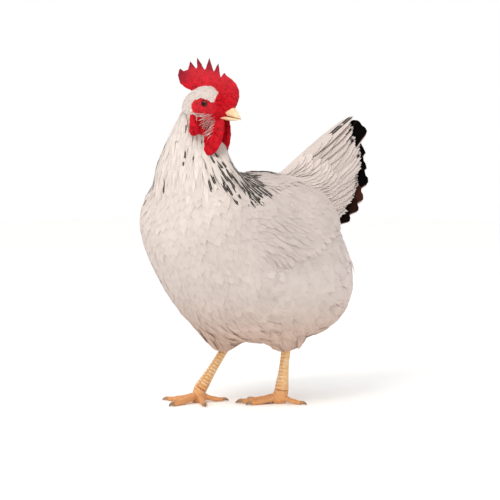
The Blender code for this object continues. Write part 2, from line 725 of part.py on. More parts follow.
def build():
    """Builds every part of the hen."""
    clear_scene()
    parts = collection_named("hen")
    cutters = collection_named("cutters")
    finishes = {
        "feather": material("white_feather", (0.83, 0.79, 0.74), 0.75),
        "face": material("bare_face_skin", (0.62, 0.06, 0.07), 0.5),
        "comb": material("comb_flesh", (0.66, 0.02, 0.03), 0.42),
        "bill": material("bill_horn", (0.83, 0.60, 0.36), 0.35),
        "eye": material("eye", (0.45, 0.10, 0.02), 0.08, 1.0),
        "leg": material("leg_scale", (0.78, 0.47, 0.19), 0.5),
        "claw": material("claw_horn", (0.35, 0.28, 0.22), 0.35),
    }
    build_body(parts, finishes)
    near_body = grown_body(cutters, GAP, "body_grown")
    near_head = grown_body(cutters, GAP, "head_grown", "head")
    near_trunk = grown_body(cutters, GAP, "trunk_grown", "trunk")
    near_bill = build_bill(parts, cutters, finishes, near_body)
    for side, name in ((1, "left"), (-1, "right")):
        build_eye(side, "eye_" + name, parts, cutters, finishes)
        build_wing(side, "wing_" + name, parts, finishes, near_body)
        build_hanging(wattle_form, side, "wattle_" + name, parts, cutters, finishes,
                      [near_head, near_trunk, *near_bill])
        build_hanging(earlobe_form, side, "earlobe_" + name, parts, cutters, finishes, [near_head])
    build_comb(parts, finishes, [near_body, *near_bill])
    build_tail(parts, finishes, near_body)
    for which, leg in LEGS.items():
        near_shank = build_shank(which, leg, parts, cutters, finishes)
        build_thigh(which, parts, finishes, [near_body, near_shank])
        build_foot(which, leg, parts, cutters, finishes, near_shank)
        build_claws(which, leg, parts, finishes)
    centre_on_floor(parts, cutters)


build()
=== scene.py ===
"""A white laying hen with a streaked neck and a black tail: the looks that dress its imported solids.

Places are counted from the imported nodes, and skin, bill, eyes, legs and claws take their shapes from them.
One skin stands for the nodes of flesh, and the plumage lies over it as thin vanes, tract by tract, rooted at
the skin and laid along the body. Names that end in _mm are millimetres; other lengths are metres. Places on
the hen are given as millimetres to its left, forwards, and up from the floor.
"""

import logging
import math
from dataclasses import dataclass
from enum import Enum
from functools import cache
from typing import Callable

import bmesh
import bpy
import numpy as np
from bmesh.types import BMEdge, BMesh, BMVert
from bpy.types import ID, Material, Mesh, Node, NodeSocket, NodeTree, Object
from mathutils import Matrix, Vector, noise
from mathutils.bvhtree import BVHTree
from mathutils.kdtree import KDTree


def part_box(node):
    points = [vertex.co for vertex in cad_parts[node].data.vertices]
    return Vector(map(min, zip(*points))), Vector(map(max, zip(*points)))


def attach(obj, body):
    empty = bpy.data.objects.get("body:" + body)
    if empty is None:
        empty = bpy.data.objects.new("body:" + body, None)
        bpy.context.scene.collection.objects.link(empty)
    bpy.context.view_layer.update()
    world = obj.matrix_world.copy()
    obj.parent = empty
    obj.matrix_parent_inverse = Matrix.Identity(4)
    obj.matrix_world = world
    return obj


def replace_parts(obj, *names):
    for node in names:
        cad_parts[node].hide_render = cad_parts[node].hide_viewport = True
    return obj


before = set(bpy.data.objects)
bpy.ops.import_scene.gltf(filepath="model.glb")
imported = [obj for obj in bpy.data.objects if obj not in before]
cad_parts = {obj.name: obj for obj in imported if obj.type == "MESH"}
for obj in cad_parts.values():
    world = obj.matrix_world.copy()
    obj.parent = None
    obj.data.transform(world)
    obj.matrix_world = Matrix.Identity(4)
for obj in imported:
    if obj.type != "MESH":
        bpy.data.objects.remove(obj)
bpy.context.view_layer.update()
NODES: dict[str, Object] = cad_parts
LOG = logging.getLogger("hen")
MM = 0.001
# Numbers in an array, most often a row for each point or feather, and a function from such rows to others.
Rows = np.ndarray
RowsFrom = Callable[[Rows], Rows]
Pair = tuple[float, float]
Triple = tuple[float, float, float]
BODY = "root"
SIDES = {"left": 1, "right": -1}
LAPPETS = ("wattle_left", "wattle_right", "earlobe_left", "earlobe_right")


# ---------------------------------------------------------------- small tools


def linear(code: str) -> tuple[float, float, float, float]:
    """Turns an sRGB colour into the linear one that shaders take.

    Args:
        code: the colour as six hex digits.

    Returns:
        Linear red, green, blue and an alpha of one.
    """
    parts = [int(code[k:k + 2], 16) / 255 for k in (0, 2, 4)]
    red, green, blue = (v / 12.92 if v <= 0.04045 else ((v + 0.055) / 1.055) ** 2.4 for v in parts)
    return red, green, blue, 1.0


def add_node(tree: NodeTree, kind: str, values: dict | None = None, links: dict | None = None,
             **settings) -> Node:
    """Adds one shader node with its settings, its sockets' values and its links. Mix nodes mix colours.

    Args:
        tree: the node tree that it goes in.
        kind: the node's type name, without its start.
        values: constants by socket name or number, with colours as six hex digits.
        links: output sockets, or nodes for their first one in use, by the input's name or number.
        **settings: the node's own properties.

    Returns:
        The new node.
    """
    node = tree.nodes.new("ShaderNode" + kind)
    if kind == "Mix":
        node.data_type = "RGBA"
    for name, setting in settings.items():
        setattr(node, name, setting)
    for socket, value in (values or {}).items():
        node.inputs[socket].default_value = linear(value) if isinstance(value, str) else value
    for socket, source in (links or {}).items():
        if isinstance(source, Node):
            source = next(output for output in source.outputs if output.enabled)
        tree.links.new(source, node.inputs[socket])
    return node


def smooth_step(values: Rows, low: float, high: float) -> Rows:
    """Rises smoothly from 0 at low to 1 at high, for each of the values."""
    share = np.clip((values - low) / (high - low), 0, 1)
    return share * share * (3 - 2 * share)


def unit(vectors: Rows) -> Rows:
    """Rows of vectors at a length of one."""
    return vectors / np.maximum(np.linalg.norm(vectors, axis=-1, keepdims=True), 1e-12)


def points_of(mesh: Mesh) -> Rows:
    """A mesh's vertices.

    Args:
        mesh: the mesh.

    Returns:
        Rows of x, y, z.
    """
    flat = np.empty(len(mesh.vertices) * 3, np.float32)
    mesh.vertices.foreach_get("co", flat)
    return flat.reshape(-1, 3).astype(float)


def normals_of(mesh: Mesh) -> Rows:
    """A mesh's smooth normals.

    Args:
        mesh: the mesh.

    Returns:
        Rows of unit directions, one for each vertex.
    """
    flat = np.empty(len(mesh.vertices) * 3, np.float32)
    mesh.vertex_normals.foreach_get("vector", flat)
    return flat.reshape(-1, 3).astype(float)


def seen_from(frame_of: Matrix, points: Rows) -> Rows:
    """Points in the local axes of a frame.

    Args:
        frame_of: the frame.
        points: rows of x, y, z.

    Returns:
        Rows of local x, y, z.
    """
    inverse = np.array(frame_of.inverted())
    return points @ inverse[:3, :3].T + inverse[:3, 3]


def tree_of(points: Rows) -> KDTree:
    """Sorts points so that their neighbours are found quickly.

    Args:
        points: rows of x, y, z.

    Returns:
        The tree, which knows each point by its row.
    """
    tree = KDTree(len(points))
    for k, point in enumerate(points.tolist()):
        tree.insert(point, k)
    tree.balance()
    return tree


def new_piece(name: str, bm: BMesh) -> Object:
    """Makes an object at the origin from a bmesh, shaded smoothly, and frees the bmesh.

    Args:
        name: the piece's name.
        bm: its shape, in place.

    Returns:
        The new object.
    """
    mesh = bpy.data.meshes.new(name)
    bm.to_mesh(mesh)
    bm.free()
    mesh.polygons.foreach_set("use_smooth", [True] * len(mesh.polygons))
    piece = bpy.data.objects.new(name, mesh)
    bpy.context.scene.collection.objects.link(piece)
    return piece


def pushed_out(mesh: Mesh, rise: Rows) -> None:
    """Moves each vertex of a mesh along its normal.

    Args:
        mesh: the mesh.
        rise: how far each vertex goes outwards, in metres.
    """
    bm = bmesh.new()
    bm.from_mesh(mesh)
    bm.normal_update()
    for vert, way in zip(bm.verts, rise.tolist()):
        vert.co += vert.normal * way
    bm.to_mesh(mesh)
    bm.free()


def keep_values(mesh: Mesh, **rows: Rows) -> None:
    """Stores a value for each vertex as attributes, for the materials to read.

    Args:
        mesh: the mesh.
        **rows: the values by the attribute's name.
    """
    for name, values in rows.items():
        mesh.attributes.new(name, "FLOAT", "POINT").data.foreach_set("value", values.astype(np.float32))


def cut_off(bm: BMesh, at: Vector, way: Vector) -> None:
    """Cuts off what lies beyond a plane, and closes the cut.

    Args:
        bm: a closed shape.
        at: a point on the plane.
        way: the direction that is cut away.
    """
    cut = bmesh.ops.bisect_plane(bm, geom=bm.verts[:] + bm.edges[:] + bm.faces[:], plane_co=at, plane_no=way,
                                 clear_outer=True)
    rim = [g for g in cut["geom_cut"] if isinstance(g, BMEdge)]
    bmesh.ops.holes_fill(bm, edges=rim, sides=0)


def baked(piece: Object) -> None:
    """Applies the modifiers of a piece to its mesh.

    Args:
        piece: the piece, which is changed.
    """
    graph = bpy.context.evaluated_depsgraph_get()
    made = bpy.data.meshes.new_from_object(piece.evaluated_get(graph))
    piece.modifiers.clear()
    piece.data = made
    made.polygons.foreach_set("use_smooth", [True] * len(made.polygons))


def merged(node: str, grow: float = 0.0) -> BMesh:
    """A node's shape with its loose triangles sewn together.

    Args:
        node: the node's name.
        grow: how far its faces are pushed outwards.

    Returns:
        The sewn shape.
    """
    bm = bmesh.new()
    bm.from_mesh(NODES[node].data)
    bmesh.ops.remove_doubles(bm, verts=bm.verts, dist=1e-6)
    bmesh.ops.recalc_face_normals(bm, faces=bm.faces)
    if grow:
        for vert in bm.verts:
            vert.co += vert.normal * grow
    return bm


def fused(name: str, shapes: list[BMesh], voxel: float, rounds: int) -> Object:
    """One closed shape round several overlapping ones, in even facets and smoothed.

    Args:
        name: the piece's name.
        shapes: closed shapes that overlap where they meet. They are freed.
        voxel: the size of a facet.
        rounds: how many times the facets are smoothed.

    Returns:
        The fused object.
    """
    joined = bmesh.new()
    for shape in shapes:
        loose = bpy.data.meshes.new("loose")
        shape.to_mesh(loose)
        shape.free()
        joined.from_mesh(loose)
        bpy.data.meshes.remove(loose)
    piece = new_piece(name, joined)
    remesh = piece.modifiers.new("fuse", "REMESH")
    remesh.mode = "VOXEL"
    remesh.voxel_size = voxel
    baked(piece)
    bm = bmesh.new()
    bm.from_mesh(piece.data)
    for _ in range(rounds):
        bmesh.ops.smooth_vert(bm, verts=bm.verts, factor=0.5, use_axis_x=True, use_axis_y=True,
                              use_axis_z=True)
    bm.to_mesh(piece.data)
    bm.free()
    return piece


def dress(piece: Object, finish: "Finish", stands_for: tuple[str, ...] = ()) -> Object:
    """Gives a piece its material and the body that it rides on.

    Args:
        piece: the finished object.
        finish: its surface.
        stands_for: the nodes that it replaces.

    Returns:
        The same piece.
    """
    piece.data.materials.clear()
    piece.data.materials.append(finish.material())
    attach(piece, BODY)
    if stands_for:
        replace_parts(piece, *stands_for)
    piece.data.calc_loop_triangles()
    LOG.info("%s: %d triangles", piece.name, len(piece.data.loop_triangles))
    return piece


# ---------------------------------------------------------------- where things are on the hen


@dataclass(frozen=True)
class Stance:
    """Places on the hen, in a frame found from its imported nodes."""

    trunk_rear_mm: float = 155.0
    eye_mm: Triple = (13.6, 4.0, 2.4)
    eye_radius_mm: float = 6.0
    head_pitch: float = 11.0
    tail_root_mm: Triple = (0.0, -72.0, 238.0)
    wing_mm: Triple = (86.0, -13.0, 238.0)

    @cache
    def shift(self) -> float:
        """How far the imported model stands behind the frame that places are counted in."""
        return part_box("trunk")[1].y - self.trunk_rear_mm * MM

    def spot(self, left: float, forward: float, up: float) -> Vector:
        """A point from millimetres to the hen's left, forwards and up."""
        return Vector((left * MM, self.shift() - forward * MM, up * MM))

    def placed(self, here: Rows) -> Rows:
        """Rows of left, forward, up as points in metres."""
        return np.stack([here[:, 0], self.shift() / MM - here[:, 1], here[:, 2]], 1) * MM

    def measured(self, points: Rows) -> Rows:
        """Points as millimetres to the hen's left, forwards and up.

        Args:
            points: rows of x, y, z in metres.

        Returns:
            Rows of left, forward, up.
        """
        return np.stack([points[:, 0], self.shift() - points[:, 1], points[:, 2]], 1) / MM

    @cache
    def head(self) -> Matrix:
        """Finds the head's frame from its eyes.

        Returns:
            The frame, whose local axes are left, backwards and up.
        """
        left, right = ((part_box(n)[0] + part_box(n)[1]) / 2 for n in ("eye_left", "eye_right"))
        across = left - right
        yaw = Matrix.Rotation(math.atan2(across.y, across.x), 4, "Z")
        pitch = Matrix.Rotation(math.radians(self.head_pitch), 4, "X")
        inner = Matrix.Translation(Vector((0, self.eye_mm[1] * MM, -self.eye_mm[2] * MM)))
        return Matrix.Translation((left + right) / 2) @ yaw @ pitch @ inner

    def in_head(self, points: Rows) -> Rows:
        """Points as millimetres to the head's left, forwards and up.

        Args:
            points: rows of x, y, z in metres.

        Returns:
            Rows of left, forward, up in the head's frame.
        """
        return seen_from(self.head(), points) * (1 / MM, -1 / MM, 1 / MM)


STANCE = Stance()


# ---------------------------------------------------------------- finishes


@dataclass(frozen=True)
class Finish:
    """One of the hen's surfaces, made as a material."""

    name: str

    def shaded(self, tree: NodeTree, place: NodeSocket) -> Node:
        """Adds the finish's own nodes.

        Args:
            tree: the material's empty tree.
            place: the place on the hen, in metres.

        Returns:
            The shader that the surface is given.
        """
        raise NotImplementedError

    def material(self) -> Material:
        """Builds the material.

        Returns:
            The new material.
        """
        made = bpy.data.materials.new(self.name)
        made.use_nodes = True
        tree = made.node_tree
        tree.nodes.clear()
        place = add_node(tree, "TexCoord").outputs["Object"]
        add_node(tree, "OutputMaterial", links={0: self.shaded(tree, place)})
        return made


@dataclass(frozen=True)
class FeatherFinish(Finish):
    """Keratin barbs zipped into a matt vane: soft, without gloss, with a faint comb of barbs and a smooth
    shaft.
    Painted shade darkens each vane towards its root, where the feathers before it cover it, and the plumage
    low on the body. A mark is the dark pigment that a hen of this pattern has on neck and tail."""

    web: str = "DDD1CB"
    # Painted shade: the colour of a vane at its root, where the feathers before it cover it.
    root: str = "C9BDB5"
    mark: str = "060404"
    mark_edge: str = "3A2F2B"
    shaft: str = "E4DAD0"
    # Painted shade on the lowest plumage, up to the heights that follow.
    under_shade: str = "E8D6C8"
    under_shade_up: Pair = (0.06, 0.17)
    stripe: Pair = (0.2, 0.5)
    mark_start: Pair = (0.3, 0.55)
    mark_end: Pair = (0.9, 1.0)
    shaft_width: float = 0.06
    quill: float = 0.35
    roughness: float = 0.85
    # The share of light that comes through a vane from behind it.
    through: float = 0.22
    # Real barbs stand about 0.4 mm apart. They are drawn three times as coarse, so that they show.
    barbs_a_length: float = 26.0
    barb_depth_mm: float = 0.12

    def shaded(self, tree: NodeTree, place: NodeSocket) -> Node:
        """Reads each vane's own map across and along it.

        Args:
            tree: the material's empty tree.
            place: the place on the hen, in metres.

        Returns:
            The shader.
        """
        vane = add_node(tree, "UVMap", uv_map="Vane")
        axes = add_node(tree, "SeparateXYZ", links={0: vane})
        centred = add_node(tree, "Math", {1: 0.5}, {0: axes}, operation="SUBTRACT")
        across = add_node(tree, "Math", links={0: centred}, operation="ABSOLUTE")
        along = axes.outputs[1]
        tone = add_node(tree, "Attribute", attribute_name="tone")
        pigment = add_node(tree, "Attribute", attribute_name="mark")

        # Painted shade: each vane darkens towards its root, where the feathers before it cover it.
        fade = add_node(tree, "MapRange", {1: 0.05, 2: 0.75}, {0: along}, interpolation_type="SMOOTHSTEP")
        web = add_node(tree, "Mix", {6: self.root, 7: self.web}, {0: fade})
        # Plumage yellows and greys in drifts about 40 mm across.
        drift = add_node(tree, "TexNoise", {"Scale": 25.0, "Detail": 3.0, "Roughness": 0.6},
                         {"Vector": place})
        weather = add_node(tree, "MapRange", {1: 0.3, 2: 0.7, 3: 0.93, 4: 1.0}, {0: drift})
        toned = add_node(tree, "Math", links={0: weather, 1: tone.outputs["Fac"]}, operation="MULTIPLY")
        # Painted shade: the lower plumage is darkened up to about the height of the keel, standing in for the
        # shade under the body.
        height = add_node(tree, "SeparateXYZ", links={0: place})
        low = add_node(tree, "MapRange", {1: self.under_shade_up[0], 2: self.under_shade_up[1], 3: 1.0, 4: 0.0},
                       {0: height.outputs[2]}, interpolation_type="SMOOTHSTEP")
        under_shade_tint = add_node(tree, "Mix", {6: (1.0, 1.0, 1.0, 1.0), 7: self.under_shade}, {0: low})
        stain_and_shade = add_node(tree, "Mix", {0: 1.0}, {6: web, 7: under_shade_tint}, blend_type="MULTIPLY")
        shade = add_node(tree, "Mix", {0: 1.0}, {6: stain_and_shade, 7: toned}, blend_type="MULTIPLY")

        marked = pigment.outputs["Fac"]
        half = (self.stripe[0] / 2, self.stripe[1] / 2)
        for edge, first, where in ((half, 1, across), (self.mark_start, 0, along), (self.mark_end, 1, along)):
            share = add_node(tree, "MapRange", {1: edge[0], 2: edge[1], 3: first, 4: 1 - first}, {0: where},
                             interpolation_type="SMOOTHSTEP")
            marked = add_node(tree, "Math", links={0: share, 1: marked}, operation="MULTIPLY")
        dark = shade
        for tint, low, high in ((self.mark_edge, 0.0, 0.5), (self.mark, 0.4, 0.9)):
            amount = add_node(tree, "MapRange", {1: low, 2: high}, {0: marked})
            dark = add_node(tree, "Mix", {7: tint}, {0: amount, 6: dark})
        quill = add_node(tree, "MapRange",
                         {1: self.shaft_width * 0.3, 2: self.shaft_width, 3: self.quill, 4: 0.0}, {0: across},
                         interpolation_type="SMOOTHSTEP")
        coloured = add_node(tree, "Mix", {7: self.shaft}, {0: quill, 6: dark})

        # Barbs leave the shaft forwards and outwards, so their lines slant with the way across.
        slant = add_node(tree, "Math", {1: 0.55}, {0: across}, operation="MULTIPLY")
        swept = add_node(tree, "Math", links={0: along, 1: slant}, operation="SUBTRACT")
        comb = add_node(tree, "CombineXYZ", links={0: swept, 1: tone.outputs["Fac"]})
        barbs = add_node(tree, "TexWave",
                         {"Scale": self.barbs_a_length / 6.28, "Distortion": 1.5, "Detail": 2.0,
                          "Detail Scale": 2.0}, {"Vector": comb}, wave_profile="SIN")
        relief = add_node(tree, "Bump", {"Strength": 0.35, "Distance": self.barb_depth_mm * MM},
                          {"Height": barbs.outputs["Fac"]})
        shader = add_node(tree, "BsdfPrincipled", {"Roughness": self.roughness, "Specular IOR Level": 0.03},
                          {"Base Color": coloured, "Normal": relief})
        behind = add_node(tree, "BsdfTranslucent", links={"Color": coloured})
        return add_node(tree, "MixShader", {0: self.through}, {1: shader, 2: behind})


@dataclass(frozen=True)
class FleshFinish(Finish):
    """Bare skin full of blood under a thin, slightly waxy surface: a deep soft red with fine pimples that
    catch the light, with painted shade in the hollows between them. It is paler on the face, and up the comb
    it turns paler pink as painted sheen."""

    deep: str = "52020A"
    flesh: str = "C20E1E"
    # Paler skin on the face, and painted sheen up the comb.
    pale: str = "D8505A"
    dusk: str = "4E1428"
    feathered: str = "D6C8C0"
    # The pimples of a comb are about 0.8 mm apart; they are drawn at 1.9 mm, so that they show.
    pimple_mm: float = 1.9
    relief_mm: float = 0.4
    roughness: float = 0.4

    def shaded(self, tree: NodeTree, place: NodeSocket) -> Node:
        """The attribute "bare" is 1 on red skin and 0 where feathers grow; a second gives the share of paler
        skin and of painted sheen, and "dusk" that of bluish skin, short of blood, at the comb's points.

        Args:
            tree: the material's empty tree.
            place: the place on the hen, in metres.

        Returns:
            The shader.
        """
        bare = add_node(tree, "Attribute", attribute_name="bare")
        patches = add_node(tree, "TexNoise", {"Scale": 180.0, "Detail": 4.0, "Roughness": 0.65},
                           {"Vector": place})
        spread = add_node(tree, "MapRange", {1: 0.35, 2: 0.65}, {0: patches})
        pimples = add_node(tree, "TexVoronoi", {"Scale": 1 / (self.pimple_mm * MM), "Randomness": 0.9},
                           {"Vector": place}, feature="SMOOTH_F1")
        dome = add_node(tree, "MapRange", {1: 0.0, 2: 0.75, 3: 1.0, 4: 0.0}, {0: pimples})
        # Painted shade: the hollows between the pimples are a deeper red.
        red = add_node(tree, "Mix", {6: self.deep, 7: self.flesh}, {0: dome})
        mottled = add_node(tree, "Mix", {6: self.flesh}, {0: spread, 7: red})
        colour = mottled
        for tint, share in ((self.pale, "pallor_and_sheen"), (self.dusk, "dusk")):
            amount = add_node(tree, "Attribute", attribute_name=share).outputs["Fac"]
            colour = add_node(tree, "Mix", {7: tint}, {0: amount, 6: colour})
        skin = add_node(tree, "Mix", {6: self.feathered}, {0: bare.outputs["Fac"], 7: colour})
        relief = add_node(tree, "Bump", {"Strength": 1.0, "Distance": self.relief_mm * MM}, {"Height": dome})
        return add_node(tree, "BsdfPrincipled",
                        {"Roughness": self.roughness, "Specular IOR Level": 0.06, "Subsurface Weight": 0.1,
                         "Subsurface Scale": 0.002, "Subsurface Radius": (1.0, 0.25, 0.15)},
                        {"Base Color": skin, "Normal": relief})


@dataclass(frozen=True)
class HornFinish(Finish):
    """Horn grown in thin layers, as on a bill or a claw: translucent and satin, with fine lengthwise streaks,
    darker towards where it is thickest."""

    base: str = "DFAF8C"
    tip: str = "EBD3AC"
    streak: str = "C08A60"
    # Painted shade in the nostrils and along the crack where the bill's halves meet.
    pit_shade: str = "5A2E22"
    # Growth lines are about 0.3 mm apart; they are drawn at 0.9 mm, so that they show.
    streak_mm: float = 0.9
    roughness: float = 0.38

    def shaded(self, tree: NodeTree, place: NodeSocket) -> Node:
        """The attribute "reach" runs from 0 at the horn's base to 1 at its tip, and "hollow" is 1 where
        painted shade darkens the nostrils and the crack between the bill's halves.

        Args:
            tree: the material's empty tree.
            place: the place on the hen, in metres.

        Returns:
            The shader.
        """
        reach = add_node(tree, "Attribute", attribute_name="reach")
        grain = add_node(tree, "TexNoise",
                         {"Scale": 1 / (self.streak_mm * MM), "Detail": 3.0, "Roughness": 0.6},
                         {"Vector": place})
        cloud = add_node(tree, "TexNoise", {"Scale": 160.0, "Detail": 2.0}, {"Vector": place})
        length = add_node(tree, "Mix", {6: self.base, 7: self.tip}, {0: reach.outputs["Fac"]})
        amount = add_node(tree, "MapRange", {1: 0.45, 2: 0.8, 3: 0.0, 4: 0.55}, {0: cloud})
        stain_and_shade = add_node(tree, "Mix", {7: self.streak}, {0: amount, 6: length})
        # Painted shade in the nostrils and along the crack between the bill's halves.
        hollow = add_node(tree, "Attribute", attribute_name="hollow")
        pit_shaded = add_node(tree, "Mix", {7: self.pit_shade}, {0: hollow.outputs["Fac"], 6: stain_and_shade})
        relief = add_node(tree, "Bump", {"Strength": 0.3, "Distance": 0.1 * MM}, {"Height": grain})
        return add_node(tree, "BsdfPrincipled",
                        {"Roughness": self.roughness, "Specular IOR Level": 0.25, "Subsurface Weight": 0.1,
                         "Subsurface Scale": 0.0015},
                        {"Base Color": pit_shaded, "Normal": relief})


@dataclass(frozen=True)
class ScuteFinish(Finish):
    """The leg's horny plates: yellow skin showing through dry scutes, worn pale on their crowns and dusty
    orange in the grooves between them."""

    plate: str = "EDC082"
    groove: str = "A05C34"
    worn: str = "F8E2BC"
    sole: str = "DB985F"
    small_scale_mm: float = 1.6
    roughness: float = 0.5

    def shaded(self, tree: NodeTree, place: NodeSocket) -> Node:
        """The attribute "groove" is 1 in the cuts between scutes.

        Args:
            tree: the material's empty tree.
            place: the place on the hen, in metres.

        Returns:
            The shader.
        """
        cut = add_node(tree, "Attribute", attribute_name="groove")
        cells = add_node(tree, "TexVoronoi", {"Scale": 1 / (self.small_scale_mm * MM)}, {"Vector": place},
                         feature="DISTANCE_TO_EDGE")
        net = add_node(tree, "MapRange", {1: 0.02, 2: 0.22, 3: 0.45, 4: 0.0}, {0: cells})
        deep = add_node(tree, "Math", links={0: cut.outputs["Fac"], 1: net}, operation="MAXIMUM")
        wear = add_node(tree, "TexNoise", {"Scale": 220.0, "Detail": 4.0, "Roughness": 0.7},
                        {"Vector": place})
        worn = add_node(tree, "MapRange", {1: 0.42, 2: 0.68}, {0: wear})
        plate = add_node(tree, "Mix", {6: self.plate, 7: self.worn}, {0: worn})
        # The toes are more orange than the shank.
        height = add_node(tree, "SeparateXYZ", links={0: place})
        near_floor = add_node(tree, "MapRange", {1: 0.008, 2: 0.035, 3: 0.75, 4: 0.0}, {0: height.outputs[2]},
                              interpolation_type="SMOOTHSTEP")
        toe = add_node(tree, "Mix", {7: self.sole}, {0: near_floor, 6: plate})
        skin = add_node(tree, "Mix", {7: self.groove}, {0: deep, 6: toe})
        relief = add_node(tree, "Bump", {"Strength": 0.5, "Distance": 0.25 * MM}, {"Height": deep},
                          invert=True)
        return add_node(tree, "BsdfPrincipled", {"Roughness": self.roughness, "Specular IOR Level": 0.2},
                        {"Base Color": skin, "Normal": relief})


@dataclass(frozen=True)
class EyeFinish(Finish):
    """A wet, clear cornea over an orange-red iris with fine spokes and a round black pupil."""

    centre: Triple
    axis: Triple
    pupil: str = "050304"
    iris: str = "86281A"
    iris_rim: str = "300B08"
    pupil_mm: float = 2.9
    iris_mm: float = 4.2

    def shaded(self, tree: NodeTree, place: NodeSocket) -> Node:
        """Draws rings round the eye's own axis.

        Args:
            tree: the material's empty tree.
            place: the place on the hen, in metres.

        Returns:
            The shader.
        """
        turn = Vector((0, 0, 1)).rotation_difference(Vector(self.axis)).to_euler()
        local = add_node(tree, "Mapping", {"Location": self.centre, "Rotation": turn}, {"Vector": place},
                         vector_type="TEXTURE")
        flat = add_node(tree, "VectorMath", {1: (1 / MM, 1 / MM, 0.0)}, {0: local}, operation="MULTIPLY")
        radius = add_node(tree, "VectorMath", links={0: flat}, operation="LENGTH")
        spokes = add_node(tree, "TexNoise", {"Scale": 1.6, "Detail": 3.0}, {"Vector": flat})
        ring = add_node(tree, "MapRange", {1: self.pupil_mm, 2: self.iris_mm}, {0: radius},
                        interpolation_type="SMOOTHSTEP")
        iris = add_node(tree, "Mix", {6: self.iris, 7: self.iris_rim}, {0: ring})
        flecked = add_node(tree, "Mix", {0: 0.35}, {6: iris, 7: spokes}, blend_type="OVERLAY")
        hole = add_node(tree, "MapRange", {1: self.pupil_mm - 0.15, 2: self.pupil_mm + 0.15}, {0: radius})
        seen = add_node(tree, "Mix", {6: self.pupil}, {0: hole, 7: flecked})
        return add_node(tree, "BsdfPrincipled",
                        {"Roughness": 0.4, "Specular IOR Level": 0.0, "Coat Weight": 0.7,
                         "Coat Roughness": 0.02, "Coat IOR": 1.34},
                        {"Base Color": seen})


@dataclass(frozen=True)
class PaperFinish(Finish):
    """The studio's seamless paper: white, matt, with a faint tooth."""

    name: str = "seamless_paper"
    white: str = "FEFEFD"

    def shaded(self, tree: NodeTree, place: NodeSocket) -> Node:
        """A faint tooth on a plain white.

        Args:
            tree: the material's empty tree.
            place: the place in the studio, in metres.

        Returns:
            The shader.
        """
        tooth = add_node(tree, "TexNoise", {"Scale": 900.0, "Detail": 2.0}, {"Vector": place})
        relief = add_node(tree, "Bump", {"Strength": 0.05, "Distance": 0.05 * MM}, {"Height": tooth})
        return add_node(tree, "BsdfPrincipled",
                        {"Base Color": self.white, "Roughness": 0.9, "Specular IOR Level": 0.1},
                        {"Normal": relief})


# ---------------------------------------------------------------- the lie of the plumage


@dataclass(frozen=True)
class Lie:
    """Which way feathers point, from guides: a place and a direction there, both as left, forward and up."""

    guides: tuple = (
        ((18, 118, 350), (0, 0.1, -1)), ((52, 88, 345), (0.35, -0.15, -1)),
        ((15, 45, 352), (0, -0.5, -1)), ((0, 20, 318), (0, -1, -0.4)),
        ((70, 50, 305), (0.5, -0.55, -0.8)), ((0, -5, 305), (0, -1, 0)),
        ((0, -60, 300), (0, -1, 0.1)), ((60, -70, 280), (0.5, -0.85, -0.4)),
        ((0, 138, 225), (0, -0.05, -1)), ((70, 105, 230), (0.3, -0.35, -0.85)),
        ((0, 125, 290), (0, 0.15, -1)), ((0, 120, 150), (0, -0.45, -0.9)),
        ((0, 70, 90), (0, -1, -0.15)), ((95, 55, 190), (0.1, -0.65, -0.75)),
        ((98, -10, 170), (0, -0.9, -0.5)), ((62, -20, 125), (0, -0.6, -0.8)),
        ((45, -15, 90), (0, -0.4, -0.9)), ((0, -80, 90), (0, -0.9, -0.3)),
        ((40, -135, 150), (0, -0.7, -0.7)), ((80, -95, 190), (0, -0.9, -0.45)),
        ((40, -115, 265), (0.1, -0.8, 0.5)), ((88, 60, 250), (0.2, -0.75, -0.6)),
        ((100, 10, 245), (0, -0.75, -0.65)), ((98, -45, 250), (0, -0.85, -0.5)),
        ((80, -20, 285), (0.3, -0.85, -0.45)), ((0, 0, 78), (0, -1, -0.1)),
    )
    sharpness: float = 3.5

    def at(self, points: Rows) -> Rows:
        """The direction at each point, on both sides of the hen.

        Args:
            points: rows of x, y, z in metres.

        Returns:
            Rows of unit directions in x, y, z.
        """
        here = STANCE.measured(points)
        total = np.zeros_like(here)
        for side in (1, -1):
            mirror = np.array((side, 1, 1))
            for place, direction in self.guides:
                gap = np.linalg.norm(here - np.array(place) * mirror, axis=1)
                weight = 1 / (gap + 4) ** self.sharpness
                total += weight[:, None] * (np.array(direction) * mirror / np.linalg.norm(direction))
        return unit(total * (1, -1, 1))


@dataclass
class Spines:
    """Where a set of feathers lies: stations from root to tip, with the normal and the way across at each."""

    points: Rows
    normals: Rows
    across: Rows

    def count(self) -> int:
        """How many feathers there are."""
        return len(self.points)

    def raise_by(self, rise_mm: RowsFrom) -> None:
        """Lifts every station by what lies beneath it.

        Args:
            rise_mm: gives millimetres for rows of left, forward, up.
        """
        for k in range(self.points.shape[1]):
            rise = rise_mm(STANCE.measured(self.points[:, k])) * MM
            self.points[:, k] += self.normals[:, k] * rise[:, None]


